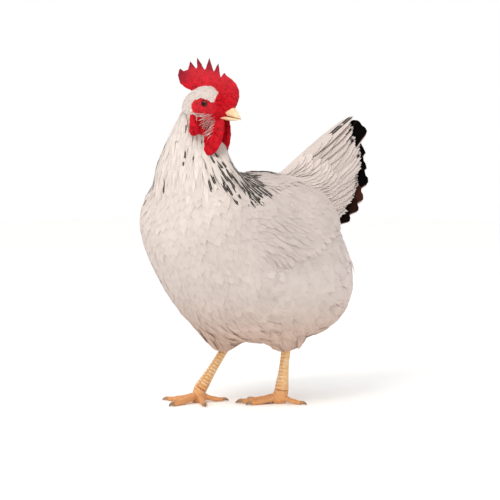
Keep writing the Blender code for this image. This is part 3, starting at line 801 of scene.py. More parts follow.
class Surface:
    """A surface that feathers are laid along."""

    def __init__(self, mesh: Mesh) -> None:
        """Reads the surface once.

        Args:
            mesh: a closed mesh, in place.
        """
        mesh.calc_loop_triangles()
        self.verts = points_of(mesh)
        corners = np.empty(len(mesh.loop_triangles) * 3, np.int32)
        mesh.loop_triangles.foreach_get("vertices", corners)
        self.corners = corners.reshape(-1, 3)
        self.normals = normals_of(mesh)
        self.tree = BVHTree.FromPolygons([Vector(v) for v in self.verts],
                                         [tuple(c) for c in self.corners.tolist()])

    def nearest(self, points: Rows) -> tuple[Rows, Rows]:
        """The surface's nearest points and smooth normals.

        Args:
            points: rows of x, y, z.

        Returns:
            Rows of places on the surface, and of unit normals there.
        """
        places, faces = np.empty_like(points), np.empty(len(points), int)
        for k, point in enumerate(points.tolist()):
            place, _, face, _ = self.tree.find_nearest(Vector(point))
            places[k] = place
            faces[k] = face
        corners = self.verts[self.corners[faces]]
        weights = 1 / (np.linalg.norm(corners - places[:, None], axis=2) + 1e-5)
        normals = (self.normals[self.corners[faces]] * weights[:, :, None]).sum(1)
        return places, unit(normals)

    def scattered(self, spacing_mm: RowsFrom, seed: int) -> Rows:
        """Roots spread evenly, no two nearer than the spacing there.

        Args:
            spacing_mm: gives the spacing for rows of points, and 0 where no feather of this tract grows.
            seed: the seed of the chance in it.

        Returns:
            Rows of root points on the surface.
        """
        chance = np.random.default_rng(seed)
        corners = self.verts[self.corners]
        centres = corners.mean(1)
        spacing = spacing_mm(centres) * MM
        area = np.cross(corners[:, 1] - corners[:, 0], corners[:, 2] - corners[:, 0])
        area = np.linalg.norm(area, axis=1) / 2
        density = np.where(spacing > 0, area / np.maximum(spacing, 1e-5) ** 2, 0)
        tries = int(density.sum() * 5)
        picked = chance.choice(len(density), tries, p=density / density.sum())
        share = np.sort(chance.random((tries, 2)), axis=1)
        bary = np.stack([share[:, 0], share[:, 1] - share[:, 0], 1 - share[:, 1]], 1)
        points = (corners[picked] * bary[:, :, None]).sum(1)
        gaps = spacing_mm(points) * MM
        tree = tree_of(points)
        open_place = gaps > 0
        kept = []
        for k in range(tries):
            if open_place[k]:
                kept.append(k)
                for _, other, _ in tree.find_range(points[k], gaps[k]):
                    open_place[other] = False
        return points[kept]

    def march(self, roots: Rows, directions: Rows, lengths: Rows, stations: int,
              lie: RowsFrom | None, hold: float = 0.5) -> Spines:
        """Lays spines along the surface from their roots.

        Args:
            roots: rows of root points.
            directions: rows of starting directions.
            lengths: each feather's length.
            stations: how many stations a spine has.
            lie: gives the direction for rows of points, or None to go straight on.
            hold: how much of its own direction a spine keeps at each step.

        Returns:
            The spines, on the surface.
        """
        points = np.empty((len(roots), stations, 3))
        normals = np.empty_like(points)
        across = np.empty_like(points)
        here, normal = self.nearest(roots)
        heading = directions
        for k in range(stations):
            if k and lie is not None:
                heading = unit(heading) * hold + lie(here) * (1 - hold)
            heading = unit(heading - normal * (heading * normal).sum(1, keepdims=True))
            points[:, k] = here
            normals[:, k] = normal
            across[:, k] = np.cross(heading, normal)
            here, normal = self.nearest(here + heading * (lengths / (stations - 1))[:, None])
        return Spines(points, normals, across)


# ---------------------------------------------------------------- vanes


class Outline(Enum):
    """The outline of a vane, as the share of its half width at a share of its length."""

    ROUND = "round"
    LANCE = "lance"
    DOWN = "down"
    FLIGHT = "flight"

    def width(self, along: float) -> float:
        """The half width at a place along the vane.

        Args:
            along: the share of the length.

        Returns:
            The share of the widest half width.
        """
        along = min(max(along, 0.0), 1.0)
        if self is Outline.ROUND:
            return math.sin(math.pi * along ** 0.85) ** 0.55 if 0 < along < 1 else 0.0
        if self is Outline.LANCE:
            return 1.62 * along ** 0.45 * (1 - along) ** 0.62
        if self is Outline.DOWN:
            return along ** 0.6 * (1 - along ** 5) ** 0.5
        rise = min(1.0, (along / 0.12) ** 0.5)
        return rise if along < 0.86 else rise * max(0.0, 1 - ((along - 0.86) / 0.14) ** 2) ** 0.5


@dataclass(frozen=True)
class Vane:
    """The pattern that one kind of feather is cut from: a web with teeth of loose barbs round its tip.

    Attributes:
        outline: its outline.
        columns: facets across.
        rows: facets along.
        teeth: cuts in each edge of the tip, which gives one more tooth than cuts.
        tooth: a tooth's length as a share of the feather's.
        teeth_from: the share of the length where the teeth start.
    """

    outline: Outline
    columns: int = 4
    rows: int = 5
    teeth: int = 2
    tooth: float = 0.07
    teeth_from: float = 0.55

    def cut(self) -> tuple[Rows, list[tuple[int, ...]], Rows]:
        """Cuts the pattern out.

        Returns:
            Its points as rows of across (-1 to 1) and along (0 to 1), its faces, and which points are the
            tips of teeth.
        """
        bm = bmesh.new()
        bmesh.ops.create_grid(bm, x_segments=self.columns, y_segments=self.rows, size=1.0)
        for vert in bm.verts:
            along = (vert.co.y + 1) / 2
            vert.co = Vector((vert.co.x * self.outline.width(along), along, 0))
        bmesh.ops.remove_doubles(bm, verts=bm.verts, dist=1e-4)
        tips = []

        def rim() -> list[BMEdge]:
            """The edges round the tip."""
            low = self.teeth_from - 0.01
            return [e for e in bm.edges if e.is_boundary and min(v.co.y for v in e.verts) >= low]

        if self.tooth:
            if self.teeth:
                bmesh.ops.subdivide_edges(bm, edges=rim(), cuts=self.teeth)
            for edge in rim():
                middle = (edge.verts[0].co + edge.verts[1].co) / 2
                out = bmesh.ops.extrude_edge_only(bm, edges=[edge])
                ends = [g for g in out["geom"] if isinstance(g, BMVert)]
                lean = 0.35 * middle.x
                point = middle + Vector((lean * 0.5, 1.0, 0)) * self.tooth
                bmesh.ops.pointmerge(bm, verts=ends, merge_co=point)
                tips.append(ends[0])
        for face in bm.faces:
            face.normal_update()
            if face.normal.z < 0:
                face.normal_flip()
        bm.verts.index_update()
        is_tip = np.zeros(len(bm.verts), bool)
        is_tip[[t.index for t in tips if t.is_valid]] = True
        points = np.array([v.co[:2] for v in bm.verts])
        faces = [tuple(v.index for v in f.verts) for f in bm.faces]
        bm.free()
        return points, faces, is_tip


@dataclass
class Bundle:
    """Feathers ready to be joined into one piece: their spines, sizes, height over the surface and colour."""

    spines: Spines
    widths: Rows
    root_lift: Rows
    tip_lift: Rows
    map_at: Rows
    mark: Rows
    lift_power: float = 0.55
    tuck: float = 0.0
    camber: float = 0.05
    roll: float = 0.02
    ragged: float = 0.5
    turn: float = 0.12
    patch: Pair = (0.003, 0.003)


def joined_vanes(name: str, vane: Vane, bundle: Bundle, seed: int) -> Object:
    """Joins a feather for each spine into one piece.

    Args:
        name: the piece's name.
        vane: the pattern that each is cut from.
        bundle: where each lies, and its size and colour.
        seed: the seed of the chance in it.

    Returns:
        The joined piece, with the maps "Vane" and "OFBake" and the attributes "tone" and "mark".
    """
    chance = np.random.default_rng(seed)
    pattern, faces, is_tip = vane.cut()
    count, size = bundle.spines.count(), len(pattern)
    along = np.repeat(pattern[None, :, 1], count, 0)
    sideways = np.repeat(pattern[None, :, 0], count, 0)
    along += is_tip * vane.tooth * bundle.ragged * chance.uniform(-1, 1, (count, size))
    sideways += is_tip * 0.12 * bundle.ragged * chance.uniform(-1, 1, (count, size))
    stations = bundle.spines.points.shape[1]
    reach = np.clip(along, 0, 1.2) * (stations - 1)
    low = np.clip(reach.astype(int), 0, stations - 2)
    part = (reach - low)[..., None]
    feather = np.arange(count)[:, None]

    def between(rows: Rows) -> Rows:
        """Rows at the stations, read between them."""
        return rows[feather, low] * (1 - part) + rows[feather, low + 1] * part

    half = bundle.widths[:, None] / 2
    roll = chance.normal(0, bundle.roll, count)[:, None]
    lift = bundle.root_lift[:, None] + (bundle.tip_lift - bundle.root_lift)[:, None] * np.clip(
        along, 0, 1.0) ** bundle.lift_power
    lift = lift - bundle.tuck * np.clip((along - 0.8) / 0.2, 0, 1.3) ** 2
    lift = lift + sideways * half * roll - bundle.camber * half * sideways ** 2
    place = between(bundle.spines.points)
    place = place + between(bundle.spines.across) * (sideways * half)[..., None]
    place = place + unit(between(bundle.spines.normals)) * lift[..., None]

    mesh = bpy.data.meshes.new(name)
    sizes = np.array([len(f) for f in faces])
    flat = np.concatenate([np.array(f) for f in faces])
    mesh.vertices.add(count * size)
    mesh.vertices.foreach_set("co", place.reshape(-1).astype(np.float32))
    mesh.loops.add(count * len(flat))
    loops = (np.arange(count)[:, None] * size + flat[None]).reshape(-1)
    mesh.loops.foreach_set("vertex_index", loops.astype(np.int32))
    mesh.polygons.add(count * len(faces))
    starts = np.concatenate([[0], np.cumsum(sizes)[:-1]])
    mesh.polygons.foreach_set("loop_start", (np.arange(count)[:, None] * len(flat) + starts[None]).reshape(-1)
                              .astype(np.int32))
    mesh.update(calc_edges=True)
    mesh.polygons.foreach_set("use_smooth", np.ones(count * len(faces), bool))
    tone = chance.normal(1.0, 0.025, count)
    keep_values(mesh, tone=np.repeat(tone, size), mark=np.repeat(bundle.mark, size))
    vane_map = np.stack([sideways / 2 + 0.5, along], 2).reshape(-1, 2)[loops]
    root_map = np.stack([sideways / 2 * bundle.patch[0], along * bundle.patch[1]], 2)
    root_map = (root_map + bundle.map_at[:, None]).reshape(-1, 2)[loops]
    for label, rows in (("OFBake", root_map), ("Vane", vane_map)):
        mesh.uv_layers.new(name=label).data.foreach_set("uv", rows.reshape(-1).astype(np.float32))
    # A feather's own curl hardly shades it, because light comes through it, so it is lit as the body is.
    turned = between(bundle.spines.across) * (bundle.turn * sideways)[..., None]
    own = unit(between(bundle.spines.normals) + turned)
    mesh.normals_split_custom_set_from_vertices(own.reshape(-1, 3))
    piece = bpy.data.objects.new(name, mesh)
    bpy.context.scene.collection.objects.link(piece)
    return piece


def folded_map(points: Rows, centre: Rows) -> Rows:
    """Unwraps a round shape onto a square by folding an octahedron open.

    Args:
        points: rows of points on the shape.
        centre: a point inside it.

    Returns:
        Rows of map places, within the square.
    """
    way = points - centre
    way = way / np.abs(way).sum(1, keepdims=True)
    flat = way[:, :2].copy()
    under = way[:, 2] < 0
    sign = np.where(flat >= 0, 1, -1)
    flat[under] = ((1 - np.abs(flat[:, ::-1])) * sign)[under]
    return flat * 0.48 + 0.5


# ---------------------------------------------------------------- skin


@dataclass
class Skin:
    """The one skin: a plain body under the plumage, and a finely worked head with comb, wattles and lobes."""

    body_voxel_mm: float = 4.0
    head_voxel_mm: float = 0.9
    overlap_mm: float = 0.5
    body_depth_mm: float = 6.5
    # The coat thins up the neck, and under the keel.
    neck_thins_mm: float = 3.5
    neck_up_mm: Pair = (335.0, 365.0)
    keel_share: float = 0.6
    keel_up_mm: Pair = (78.0, 95.0)
    rump_mm: float = 38.0
    neck_cut_mm: float = 338.0
    nape_depth_mm: float = 3.2
    # How near to comb, wattles and lobes the skin is all red, and where the red ends.
    red_edge_mm: Pair = (1.2, 2.0)
    cere_mm: float = 0.9
    cere_edge_mm: tuple = ((26.5, -8.0), (40.0, 6.5))
    lid_ring_mm: float = 4.9
    lid_mm: float = 1.2
    pimples_a_metre: float = 420.0
    swells_a_metre: float = 160.0
    folds_a_metre: float = 120.0
    pleats_a_metre: float = 60.0
    grain_mm: float = 0.22
    swell_mm: float = 0.3
    fold_mm: float = 0.3
    # How far the skin is drawn in, to make room for its relief.
    inset_mm: float = 0.25

    def coat(self) -> Object:
        """The plumage's outer surface, which feathers are laid along. It is only a tool, and is removed."""
        names = ("trunk", "neck", "head", "thigh_left", "thigh_right", "tail")
        return fused("coat", [merged(n, self.overlap_mm * MM) for n in names], self.body_voxel_mm * MM, 6)

    def rump(self) -> BMesh:
        """The fleshy root of the tail, cut from the fan.

        Returns:
            The closed shape.
        """
        bm = merged("tail", self.overlap_mm * MM)
        root = STANCE.spot(*STANCE.tail_root_mm)
        away = Vector((0, 1, 0.6)).normalized()
        cut_off(bm, root + away * self.rump_mm * MM, away)
        return bm

    def body(self) -> Object:
        """The body's skin, sunk under the plumage by its depth and brought up to nothing at the head.

        Returns:
            The skin of everything but the head.
        """
        names = ("trunk", "neck", "thigh_left", "thigh_right")
        shapes = [merged(n, self.overlap_mm * MM) for n in names] + [self.rump()]
        body = fused("skin", shapes, self.body_voxel_mm * MM, 10)
        here = STANCE.measured(points_of(body.data))
        depth = self.body_depth_mm - self.neck_thins_mm * smooth_step(here[:, 2], *self.neck_up_mm)
        low = 1 - smooth_step(here[:, 2], *self.keel_up_mm)
        pushed_out(body.data, -depth * (1 - self.keel_share * low) * MM)
        return body

    def lid(self, side: int) -> BMesh:
        """The ring of an eye's lids, resting on the eyeball.

        Args:
            side: 1 for the left eye and -1 for the right.

        Returns:
            A closed ring.
        """
        left, forward, up = STANCE.eye_mm
        eye = Vector((side * left, -forward, up)) * MM
        bm = bmesh.new()
        bmesh.ops.create_circle(bm, segments=10, radius=self.lid_mm * MM,
                                matrix=Matrix.Translation((0, 0, self.lid_ring_mm * MM))
                                @ Matrix.Rotation(math.pi / 2, 4, "X"))
        bmesh.ops.spin(bm, geom=bm.verts[:] + bm.edges[:], cent=(0, 0, 0), axis=(1, 0, 0), angle=2 * math.pi,
                       steps=32, use_merge=True)
        stand = math.sqrt(STANCE.eye_radius_mm ** 2 - self.lid_ring_mm ** 2) * MM
        bmesh.ops.scale(bm, vec=(1, 1.12, 0.92), verts=bm.verts)
        bmesh.ops.transform(bm, matrix=STANCE.head() @ Matrix.Translation(eye + Vector((side * stand, 0, 0))),
                            verts=bm.verts)
        bmesh.ops.recalc_face_normals(bm, faces=bm.faces)
        return bm

    def nape(self) -> BMesh:
        """The upper neck, cut off where the body's skin takes over under the feathers.

        Returns:
            The closed shape.
        """
        bm = merged("neck", 0.3 * MM)
        cut_off(bm, Vector((0, 0, self.neck_cut_mm * MM)), Vector((0, 0, -1)))
        return bm

    def cere(self) -> BMesh:
        """The flesh that grows down from the comb over the root of the bill.

        Returns:
            The closed shape.
        """
        bm = merged("bill_upper", self.cere_mm * MM)
        turn = STANCE.head().to_3x3()
        (low_forward, low_up), (high_forward, high_up) = self.cere_edge_mm
        edge = turn @ Vector((0, low_forward - high_forward, high_up - low_up))
        onwards = (turn @ Vector((1, 0, 0))).cross(edge).normalized()
        if onwards.dot(turn @ Vector((0, -1, 0))) < 0:
            onwards.negate()
        cut_off(bm, STANCE.head() @ (Vector((0, -low_forward, low_up)) * MM), onwards)
        return bm

    def head(self) -> Object:
        """The head's skin with comb, wattles, lobes and lids, folded and pimpled, and sunk under the feathers
        of the neck.

        Returns:
            The head's skin.
        """
        shapes = [merged(n, 0.3 * MM) for n in ("head", "comb", *LAPPETS)]
        shapes += [self.lid(side) for side in SIDES.values()]
        head = fused("skin_head", shapes + [self.nape(), self.cere()], self.head_voxel_mm * MM, 3)
        points = points_of(head.data)
        left, forward, up = STANCE.in_head(points).T
        sink = self.nape_depth_mm * (1 - self.masks(points)["bare"]) * (1 - smooth_step(up, -18, -6))
        ring = np.hypot(forward - 4, up - 2.4)
        on_face = (np.abs(left) > 8) & (ring > 6.5) & (np.abs(forward - 2) < 16) & (np.abs(up + 1.5) < 14.5)
        pleat = smooth_step(-up, 24, 32) * (np.abs(left) < 24) * (forward > 2)
        grain, wander, drift = (np.array([noise.noise(Vector(p) * scale) for p in points.tolist()])
                                for scale in (self.pimples_a_metre, self.folds_a_metre, self.pleats_a_metre))
        swell = np.array([noise.noise(Vector(p) * self.swells_a_metre) for p in points.tolist()])
        fold = np.sin(ring * 2.1 + wander * 3) * on_face + np.sin(forward * 1.05 + drift * 2.5) * pleat
        relief = grain * self.grain_mm + swell * self.swell_mm + fold * self.fold_mm
        pushed_out(head.data, (relief - self.inset_mm - sink) * MM)
        return head

    def masks(self, points: Rows) -> dict[str, Rows]:
        """Where the skin is bare and red, where it is paler, and where it is dusky.

        Args:
            points: rows of x, y, z.

        Returns:
            The shares "bare", "pallor" and "dusk" for each row.
        """
        left, forward, up = STANCE.in_head(points).T
        face = 1 - smooth_step(np.hypot((forward - 4) / 16.5, (up + 1.2) / 12), 0.9, 1.0)
        muzzle = smooth_step(forward, 15, 17) * smooth_step(up, -26, -23)
        cheek = smooth_step(forward, -3, 0) * smooth_step(-up, 8, 10) * smooth_step(up, -38, -35)
        comb = smooth_step(up, 23, 24.5) * (np.abs(left) < 12)
        crest = smooth_step(up + 0.55 * forward, 27, 28.5) * (forward > 4)
        bare = np.clip(face + muzzle + cheek + comb + crest, 0, 1)
        inner, outer = (edge * MM for edge in self.red_edge_mm)
        for name in ("comb", *LAPPETS):
            low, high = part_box(name)
            close = np.all((points > np.array(low) - outer) & (points < np.array(high) + outer), axis=1)
            if close.any():
                near = Surface(NODES[name].data).nearest(points[close])[0]
                gap = np.linalg.norm(near - points[close], axis=1)
                bare[close] = np.maximum(bare[close], 1 - smooth_step(gap, inner, outer))
        bare *= np.linalg.norm(np.stack([left, forward, up], 1), axis=1) < 110
        rear_lobe = smooth_step(-forward, 24, 46) * smooth_step(up, 16, 26)
        points_up = 0.75 * smooth_step(up, 36, 55) + 0.6 * rear_lobe
        # The face is a little paler; up the comb the skin turns paler pink, which is painted sheen standing
        # in for the light its pimples catch.
        pallor_and_sheen = (0.12 * face + 0.2 * smooth_step(up, 8, 46)) * bare
        return {"bare": bare, "pallor_and_sheen": pallor_and_sheen, "dusk": np.clip(points_up, 0, 0.7)}

    def build(self) -> Object:
        """Builds and joins the two parts of the skin.

        Returns:
            The dressed skin.
        """
        body, head = self.body(), self.head()
        bm = bmesh.new()
        bm.from_mesh(body.data)
        bm.from_mesh(head.data)
        for part in (body, head):
            bpy.data.objects.remove(part)
        skin = new_piece("skin", bm)
        keep_values(skin.data, **self.masks(points_of(skin.data)))
        pairs = [f"{part}_{label}" for part in ("wing", "thigh") for label in SIDES]
        flesh = ("trunk", "neck", "head", "comb", *LAPPETS, *pairs)
        return dress(skin, FleshFinish("bare_skin"), stands_for=flesh)


# ---------------------------------------------------------------- plumage


def around_neck(here: Rows) -> Rows:
    """Angle round the neck in degrees, 0 at the throat and positive to the left.

    Args:
        here: rows of left, forward, up.

    Returns:
        The angles.
    """
    return np.degrees(np.arctan2(here[:, 0] - 4, here[:, 1] - 78))


def is_hackle(here: Rows) -> Rows:
    """Whether the roots belong to the hackle, the cape of narrow feathers round the neck.

    Args:
        here: rows of left, forward, up.

    Returns:
        Yes or no for each row.
    """
    angle = np.radians(around_neck(here))
    lowest = 300 + 14 * np.cos(angle) - 12 * np.abs(np.sin(angle))
    return (here[:, 2] > lowest) & (here[:, 1] > 34)


def is_vent(here: Rows) -> Rows:
    """Whether the roots lie round the vent, between tail and belly.

    Args:
        here: rows of left, forward, up.

    Returns:
        Yes or no for each row.
    """
    left, forward, up = here.T
    return (forward < -98) & (np.abs(left) < 45) & (up + forward < 152 - 0.4 * np.abs(left))


def is_rump(here: Rows) -> Rows:
    """Whether the roots belong to the tail.

    Args:
        here: rows of left, forward, up.

    Returns:
        Yes or no for each row.
    """
    _, forward, up = here.T
    behind = -98 - forward
    vent = is_vent(here) & (forward > -145)
    return (behind > 0) & (up > 205 - 0.35 * behind) & (up > 262 - 0.9 * behind) & ~vent


def is_down(here: Rows) -> Rows:
    """Whether the roots belong to the loose down of thighs, belly and vent.

    Args:
        here: rows of left, forward, up.

    Returns:
        Yes or no for each row.
    """
    _, forward, up = here.T
    rear = (forward < -60) & (up < 215 - 0.3 * (forward + 60))
    return (rear | is_vent(here) | (up < 118)) & ~is_rump(here)


def hackle_marks(here: Rows) -> Rows:
    """How dark each hackle feather's stripe is: strongest on the cape's lower rows at the back and sides.

    Args:
        here: rows of left, forward, up.

    Returns:
        The share of dark pigment for each row.
    """
    angle = np.abs(around_neck(here))
    low = 1 - smooth_step(here[:, 2], 306, 346)
    away = smooth_step(angle, 38, 84)
    chance = np.random.default_rng(3).random((2, len(here)))
    return np.where(chance[0] < 0.04 + low * away, 0.75 + 0.25 * chance[1], 0.1 * chance[1])


@dataclass(frozen=True)
class Tract:
    """One tract of feathers that are spread evenly over a surface.

    Attributes:
        name: the piece's name.
        holds: whether rows of left, forward, up belong to the tract.
        sizes_mm: spacing, length and width for rows of left, forward, up, as rows.
        vane: the pattern of its feathers.
        lift_mm: height over the surface at root and tip.
        mark: the share of dark pigment for rows of left, forward, up.
        stray: how far directions wander, in degrees.
        spread_mm: how much the tips' height varies.
        vary: how much sizes vary, as a share.
        camber: how far the edges droop, as a share of the half width.
        tuck_mm: how far the very tip bends down.
        rise_mm: how far what lies beneath lifts the feathers off the surface, for rows of left, forward, up.
        web: the colour of its feathers.
    """

    name: str
    holds: RowsFrom
    sizes_mm: RowsFrom
    vane: Vane
    lift_mm: Pair = (-3.0, -0.3)
    mark: RowsFrom | None = None
    stray: float = 5.0
    spread_mm: float = 0.15
    vary: float = 0.12
    camber: float = 0.04
    tuck_mm: float = 0.25
    rise_mm: RowsFrom | None = None
    web: str = "DDD1CB"


def even(spacing: float, length: float, width: float) -> RowsFrom:
    """The same spacing, length and width all over a tract, in millimetres.

    Returns:
        A function that gives them for rows of points.
    """
    return lambda here: np.tile((spacing, length, width), (len(here), 1))


def graded(low_up: float, low: Triple, high_up: float, high: Triple) -> RowsFrom:
    """Spacing, length and width that change from one height to another, in millimetres.

    Args:
        low_up: the lower height.
        low: spacing, length and width there.
        high_up: the upper height.
        high: spacing, length and width there.

    Returns:
        A function that gives them for rows of points.
    """
    def read(here: Rows) -> Rows:
        """Sizes for rows of left, forward, up."""
        share = np.clip((here[:, 2] - low_up) / (high_up - low_up), 0, 1)[:, None]
        return np.array(low) * (1 - share) + np.array(high) * share
    return read


@dataclass
class Plumage:
    """All the feathers that are spread over the coat by tracts."""

    coat: Surface
    lie: Lie
    wings: tuple["Wing", ...]
    map_centre_up: float = 190.0

    def on_wing(self, here: Rows) -> Rows:
        """Whether the roots lie under either wing's own rows."""
        return self.wings[0].covers(here) | self.wings[1].covers(here)

    def wing_rise(self, here: Rows) -> Rows:
        """How far the folded wings lift the coat, for rows of left, forward, up."""
        return np.maximum(self.wings[0].rise_mm(here), self.wings[1].rise_mm(here))

    def lap(self, here: Rows) -> Rows:
        """How far the wings lift the feathers that lap over them, for rows of left, forward, up."""
        over = [smooth_step(wing.shares(here)[2], -1.0, -0.8) * wing.rise_mm(here) for wing in self.wings]
        return np.maximum(*(rise + wing.brim_mm(here) for rise, wing in zip(over, self.wings)))

    def is_head(self, here: Rows) -> Rows:
        """Whether the roots belong to the head's small feathers.

        Args:
            here: rows of left, forward, up.

        Returns:
            Yes or no for each row.
        """
        left, forward, up = STANCE.in_head(STANCE.placed(here)).T
        behind_lobe = -17 + 0.48 * (-14 - up)
        return (np.hypot(forward, left) < 60) & ((up > -12) | (up > -33) & (forward > behind_lobe))

    def tracts(self) -> list[Tract]:
        """The tracts of the body, from the neck back.

        Returns:
            A tract for each piece.
        """
        contour = Vane(Outline.ROUND)
        loose = Vane(Outline.DOWN, rows=5, teeth=3, tooth=0.16, teeth_from=0.55)
        lance = Vane(Outline.LANCE, rows=7, teeth=1, tooth=0.03, teeth_from=0.3)

        def plain(here: Rows) -> Rows:
            """The body's contour feathers, apart from the wings."""
            others = is_hackle(here) | is_down(here) | is_rump(here) | self.on_wing(here)
            return ~(others | self.is_head(here))

        def fore(here: Rows) -> Rows:
            """The breast, whose edge runs in fingers into the flank, so that no line shows between them."""
            return here[:, 1] > 40 + 18 * np.sin(0.33 * here[:, 2] + 0.2 * np.abs(here[:, 0]))

        return [
            Tract("breast_feathers", lambda here: plain(here) & fore(here), even(6.0, 27, 15), contour,
                  rise_mm=self.lap),
            Tract("flank_feathers", lambda here: plain(here) & ~fore(here) & (here[:, 2] <= 255),
                  even(6.4, 32, 16), contour, web="E5DAD4"),
            Tract("back_feathers", lambda here: plain(here) & ~fore(here) & (here[:, 2] > 255),
                  even(6.0, 33, 14), contour, rise_mm=self.lap),
            # Painted light: the down and tufts have a paler web than the breast, standing in for light that
            # the low plumage misses.
            Tract("belly_down", is_down, even(6.0, 32, 19), loose, lift_mm=(-3.5, -0.2), stray=12,
                  spread_mm=0.5, web="E8DBD6"),
            Tract("loose_tufts", is_down, even(24, 34, 13), loose, lift_mm=(-2.0, 1.6), stray=20,
                  spread_mm=1.0, vary=0.3, web="E8DBD6"),
            Tract("wing_coverts", self.on_wing, even(5.4, 36, 14), contour, rise_mm=self.wing_rise, stray=3,
                  spread_mm=0.08),
            # Painted light: the hackle has a paler web than the breast, standing in for light on the neck,
            # which faces away from the lamp.
            Tract("hackle_feathers", lambda here: is_hackle(here) & ~self.is_head(here),
                  graded(295, (5.6, 46, 8.6), 368, (2.4, 14, 4.0)), lance, lift_mm=(-2.6, -0.2),
                  mark=hackle_marks, stray=4, web="EAE0D9"),
        ]

    def lay(self, tract: Tract, surface: Surface, lie: RowsFrom, number: int) -> Object:
        """Lays one tract on a surface.

        Args:
            tract: the tract.
            surface: what it lies on.
            lie: the direction for rows of points.
            number: the tract's number, which seeds its chance.

        Returns:
            The dressed piece.
        """
        chance = np.random.default_rng(100 + number)

        def spacing(points: Rows) -> Rows:
            """The spacing for rows of points, and 0 outside the tract."""
            here = STANCE.measured(points)
            return np.where(tract.holds(here), tract.sizes_mm(here)[:, 0], 0.0)

        roots = surface.scattered(spacing, 7 + number)
        count = len(roots)
        here = STANCE.measured(roots)
        places, normals = surface.nearest(roots)
        heading = lie(roots)
        turned = np.radians(chance.normal(0, tract.stray, count))[:, None]
        heading = heading * np.cos(turned) + np.cross(normals, heading) * np.sin(turned)
        sizes = tract.sizes_mm(here) * MM * (1 + tract.vary * chance.uniform(-1, 1, (count, 1)))
        spines = surface.march(places, heading, sizes[:, 1], 6, lie, hold=0.8)
        mark = tract.mark(here) if tract.mark else np.zeros(count)
        shrink = sizes[:, 1] / sizes[:, 1].max()
        if tract.rise_mm:
            spines.raise_by(tract.rise_mm)
        bundle = Bundle(spines, sizes[:, 2], tract.lift_mm[0] * MM * shrink,
                        (tract.lift_mm[1] + chance.normal(0, tract.spread_mm, count)) * MM,
                        folded_map(roots, np.array(STANCE.spot(0, 0, self.map_centre_up))), mark,
                        tuck=tract.tuck_mm * MM, camber=tract.camber)
        piece = joined_vanes(tract.name, tract.vane, bundle, 50 + number)
        finish = FeatherFinish(tract.name.replace("feathers", "vanes") + "_white", web=tract.web,
                               stripe=(0.28, 0.55), mark_start=(0.4, 0.65), mark_end=(0.92, 1.0))
        return dress(piece, finish)

    def build(self) -> None:
        """Lays every tract of the body."""
        for number, tract in enumerate(self.tracts()):
            self.lay(tract, self.coat, self.lie.at, number)


